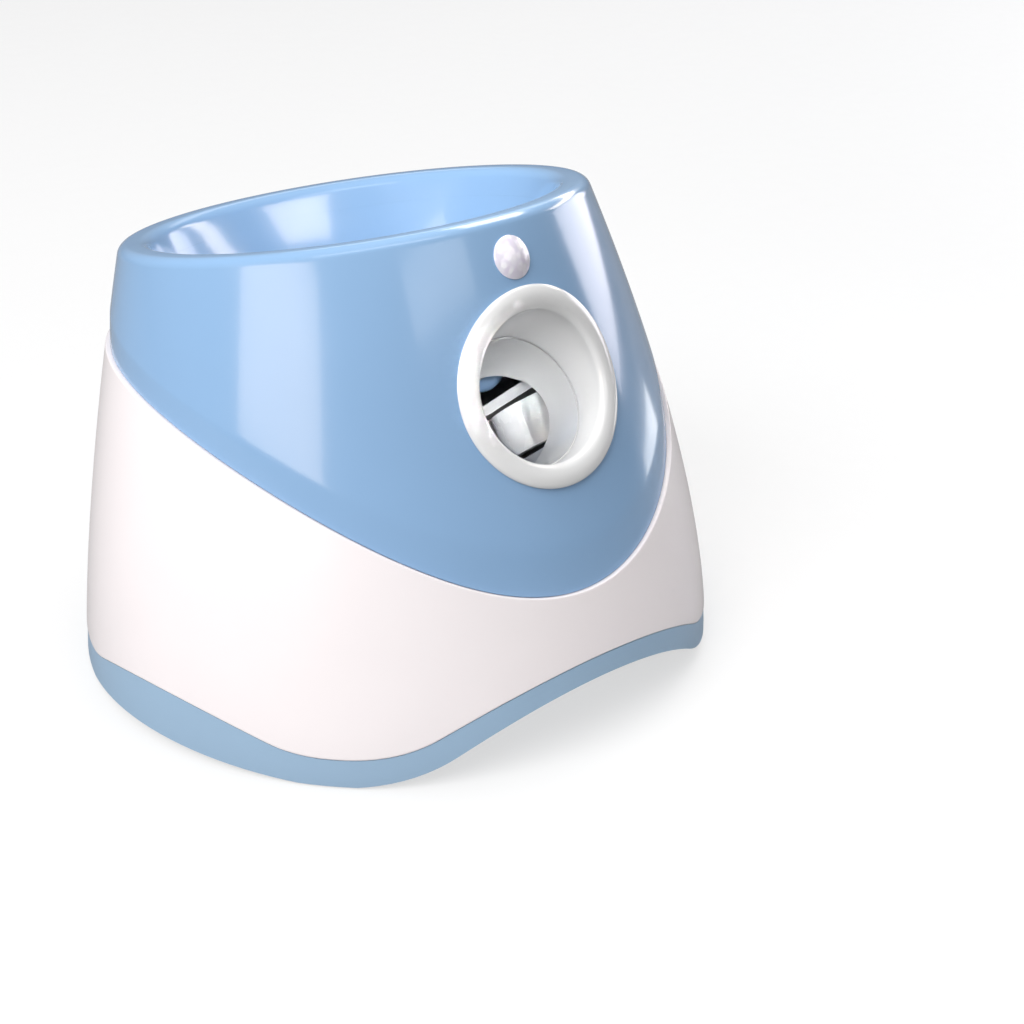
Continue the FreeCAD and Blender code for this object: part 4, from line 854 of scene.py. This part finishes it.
class LAUNCHER_OT_works(LauncherOperator):
    """Every other part: a merged copy of its solid with smooth rounds and crisp edges, in its own finish"""

    bl_idname = "launcher.works"
    bl_label = "Works and fittings"

    def execute(self, context):
        record = frame["record"]
        slots = {part["node"]: part["material_slot"] for part in record["subparts"]}
        shown = {name for name, node in frame["nodes"].items() if not node.hide_render}
        for body, members in record["behaviour"]["bodies"].items():
            for name in members:
                if name in shown:
                    carry_over(name, body, slots[name])
        return {"FINISHED"}


def carry_over(name, body, slot):
    """A merged, smooth-shaded copy of a part. Points on the casing take the casing's own normal."""
    mesh = frame["nodes"][name].data.copy()
    mesh.name = f"{name}_finished"
    if "custom_normal" in mesh.attributes:
        mesh.attributes.remove(mesh.attributes["custom_normal"])
    weld(mesh)
    mesh.shade_smooth()
    mesh.set_sharp_from_angle(angle=CRISP_BEND)
    mesh.materials.clear()
    on_casing = name == "base_tray"
    if on_casing:
        true_normals(mesh)
    piece = add_piece(mesh, body, slot, name)
    if not on_casing:
        piece.modifiers.new("Even normals", "WEIGHTED_NORMAL").keep_sharp = True


def true_normals(mesh):
    """Casing normals for every corner of the faces that lie on the casing, and the mesh's own elsewhere."""
    count = len(mesh.loops)
    own, points, corner = np.empty(count * 3), np.empty(len(mesh.vertices) * 3), np.empty(count, np.int32)
    mesh.corner_normals.foreach_get("vector", own)
    mesh.vertices.foreach_get("co", points)
    mesh.loops.foreach_get("vertex_index", corner)
    own, points = own.reshape(-1, 3), points.reshape(-1, 3)[corner]
    a, b, middle = section(points[:, 2])
    turn = np.arctan2(points[:, 0] / a, (middle - points[:, 1]) / b)
    off = np.linalg.norm(points - skin(turn, points[:, 2]), axis=1)
    normal = skin_normal(turn, points[:, 2])
    faces = np.empty(len(mesh.polygons), np.int32)
    mesh.polygons.foreach_get("loop_total", faces)
    flat = np.empty(len(mesh.polygons) * 3)
    mesh.polygons.foreach_get("normal", flat)
    flat = np.repeat(flat.reshape(-1, 3), faces, axis=0)
    close, aligned = 0.0004, 0.9
    on_casing = (off < close) & (np.sum(flat * normal, axis=1) > aligned)
    own[on_casing] = normal[on_casing]
    mesh.normals_split_custom_set(own.tolist())


# ---------------------------------------------------------------- studio


def light_table(base, glow):
    """Cover of a light table: a matt sheet that glows for the camera alone."""
    table = plastic("Studio floor", base, 0.7, 0.8, grain=300.0, bump=0.02, tone=0.995)
    tree = table.node_tree
    seen = wire(tree, "ShaderNodeLightPath").outputs["Is Camera Ray"]
    glowing = wire(tree, "ShaderNodeEmission", {"Strength": combine(tree, "MULTIPLY", seen, glow)}).outputs[0]
    matt = tree.nodes["Principled BSDF"].outputs[0]
    both = wire(tree, "ShaderNodeAddShader", {0: glowing, 1: matt}).outputs[0]
    tree.links.new(both, tree.nodes["Material Output"].inputs[0])
    return table


# name, degrees round from the front, degrees up, distance, width, height, radiance, tint, what it acts on
STUDIO_LIGHTS = [
    ("key", -82, 40, 2.6, 2.2, 1.6, 7.0, (1, 1, 1), "diffuse"),
    ("fill", 98, 18, 2.6, 1.6, 1.2, 3.2, (0.93, 0.95, 1.0), "diffuse"),
    ("overhead", 150, 84, 2.2, 2.0, 2.0, 1.6, (1, 1, 1), "diffuse"),
    ("strip", -72, 21, 1.8, 1.1, 0.74, 4.6, (1, 0.8, 0.64), "gloss"),
    ("right", 90, 7.5, 1.8, 1.05, 0.5, 4.6, (1.0, 0.94, 1.0), "gloss"),
    ("rim line", -20, 66, 1.8, 1.6, 0.4, 2.6, (1, 0.97, 0.95), "gloss"),
    ("patch", 5, 32, 1.8, 0.9, 0.2, 2.6, (1, 0.97, 0.94), "gloss"),
    ("back", 137, 30, 2.2, 1.2, 0.5, 1.4, (1, 1, 1), "gloss"),
]
# small lights: name, place, aim, width, height, radiance, tint, spread in degrees, what it acts on
NEAR_LIGHTS = [
    ("bowl fill", (0.0, 0.0, 0.335), (0.0, 0.06, 0.19), 0.16, 0.16, 1.1, (1, 0.97, 0.9), 180, "diffuse"),
    ("bowl strip one", (0.3, 0.01, 0.33), (0.28, 0.01, 0.0), 0.26, 0.09, 9.0, (1, 0.86, 0.74), 180, "gloss"),
    ("bowl strip two", (0.068, -0.042, 0.33), (0.068, -0.042, 0), 0.084, 0.075, 9.0, (1, 0.84, 0.7), 180,
     "gloss"),
    ("outlet", (-0.36, -0.6, 0.6), (0.018, -0.058, 0.142), 0.03, 0.03, 3.6, (1, 1, 1), 4.5, "diffuse"),
    ("apron", (0.26, -0.72, 0.3), (0.02, -0.13, 0.035), 1.3, 0.04, 0.9, (1, 1, 1), 26, "diffuse"),
    ("low right", (0.62, -0.13, 0.04), (0.1, -0.08, 0.1), 0.2, 0.05, 3.5, (1, 1, 1), 180, "gloss"),
]
STUDIO_AIM = Vector((0, -0.02, 0.15))
CAMERA_PLACE = (-0.6186826, -0.7412639, 0.5678378)
CAMERA_ANGLES = (-43.3740, 27.5397, 2.6823)  # degrees round from the front, degrees down and roll


def add_light(name, place, aim, width, height, radiance, tint, kind, spread=180):
    """An area light. A flat light's power is pi times its area and its radiance."""
    light = bpy.data.lights.new(name, "AREA")
    light.shape = "RECTANGLE"
    light.size, light.size_y, light.color, light.spread = width, height, tint, math.radians(spread)
    light.energy = math.pi * width * height * radiance
    lamp = bpy.data.objects.new(name, light)
    bpy.context.scene.collection.objects.link(lamp)
    lamp.location = place
    lamp.rotation_euler = (Vector(place) - Vector(aim)).to_track_quat("Z", "Y").to_euler()
    lamp.visible_camera = False
    lamp.visible_diffuse = kind == "diffuse"
    lamp.visible_glossy = kind == "gloss"


def around(turn, rise, away):
    """A place round the launcher: degrees from the front, degrees up and distance."""
    turn, rise = math.radians(turn), math.radians(rise)
    way = Vector((math.sin(turn) * math.cos(rise), -math.cos(turn) * math.cos(rise), math.sin(rise)))
    return STUDIO_AIM + away * way


class LAUNCHER_OT_stage(LauncherOperator):
    """Studio: a wide grey floor that glows, white surroundings, soft lights and the camera"""

    bl_idname = "launcher.stage"
    bl_label = "Studio"

    def execute(self, context):
        s, f = sizes("studio"), sizes("finish")
        context.scene.view_settings.view_transform = "Standard"
        surround(s.ambient)
        lay_floor(light_table(f.floor, s.glow))
        for name, turn, rise, away, width, height, radiance, tint, kind in STUDIO_LIGHTS:
            add_light(name, around(turn, rise, away), STUDIO_AIM, width, height, radiance, tint, kind)
        for name, place, aim, width, height, radiance, tint, spread, kind in NEAR_LIGHTS:
            add_light(name, place, aim, width, height, radiance, tint, kind, spread)
        set_camera(s.lens)
        return {"FINISHED"}


def surround(strength):
    """Even white surroundings."""
    world = bpy.data.worlds.new("Studio surroundings")
    bpy.context.scene.world = world
    world.use_nodes = True
    world.node_tree.nodes["Background"].inputs["Color"].default_value = (1, 1, 1, 1)
    world.node_tree.nodes["Background"].inputs["Strength"].default_value = strength


def lay_floor(cover):
    """A wide round floor: circles of four radii, joined by quads."""
    turn, radii = turns(64), np.array([1e-4, 0.5, 1.5, 6.0])[:, None]
    level = np.zeros((len(radii), len(turn)))
    points = np.stack([radii * np.cos(turn), radii * np.sin(turn), level], axis=-1)
    points, quads = lay_grid(points)
    mesh = bpy.data.meshes.new("floor")
    mesh.from_pydata(points, [], quads[:, ::-1])
    floor = bpy.data.objects.new("floor", mesh)
    bpy.context.scene.collection.objects.link(floor)
    mesh.materials.append(cover)


def set_camera(lens):
    """A camera that looks along its angles: back, right and up directions, turned by the roll."""
    camera = bpy.data.objects.new("camera", bpy.data.cameras.new("camera"))
    bpy.context.scene.collection.objects.link(camera)
    bpy.context.scene.camera = camera
    camera.data.sensor_width, camera.data.lens = 36.0, lens
    camera.data.clip_start, camera.data.clip_end = 0.05, 30
    aim, rise, roll = (math.radians(v) for v in CAMERA_ANGLES)
    back = Vector((math.sin(aim) * math.cos(rise), -math.cos(aim) * math.cos(rise), math.sin(rise)))
    right = Vector((math.cos(aim), math.sin(aim), 0))
    up = back.cross(right)
    across = right * math.cos(roll) + up * math.sin(roll)
    upright = up * math.cos(roll) - right * math.sin(roll)
    turned = Matrix((across, upright, back)).transposed().to_4x4()
    camera.matrix_world = Matrix.Translation(CAMERA_PLACE) @ turned


# ---------------------------------------------------------------- panel and registration


class LAUNCHER_PT_panel(bpy.types.Panel):
    """Lists the launcher's pieces and sizes"""

    bl_label = "Ball launcher"
    bl_idname = "LAUNCHER_PT_panel"
    bl_space_type = "VIEW_3D"
    bl_region_type = "UI"
    bl_category = "Launcher"

    def draw(self, context):
        for step in STEPS:
            self.layout.operator(step.bl_idname)
        for name, group in GROUPS.items():
            box = self.layout.box()
            box.label(text=name.title())
            for key in group.__annotations__:
                box.prop(sizes(name), key)


STEPS = [LAUNCHER_OT_stage, LAUNCHER_OT_upper_shell, LAUNCHER_OT_hopper_bowl, LAUNCHER_OT_mid_band,
         LAUNCHER_OT_outlet_ring, LAUNCHER_OT_sensor_lens, LAUNCHER_OT_works]


def register():
    """Registers the sizes, then the operators and the panel."""
    for group in GROUPS.values():
        bpy.utils.register_class(group)
    for name, group in GROUPS.items():
        setattr(bpy.types.Scene, f"launcher_{name}", PointerProperty(type=group))
    for step in STEPS + [LAUNCHER_PT_panel]:
        bpy.utils.register_class(step)


def unregister():
    """Takes everything back in the opposite order."""
    for step in [LAUNCHER_PT_panel] + STEPS[::-1]:
        bpy.utils.unregister_class(step)
    for name, group in GROUPS.items():
        delattr(bpy.types.Scene, f"launcher_{name}")
        bpy.utils.unregister_class(group)


def main():
    """Builds every piece and the studio."""
    register()
    for step in STEPS:
        space, name = step.bl_idname.split(".")
        getattr(getattr(bpy.ops, space), name)()


if __name__ == "__main__":
    main()
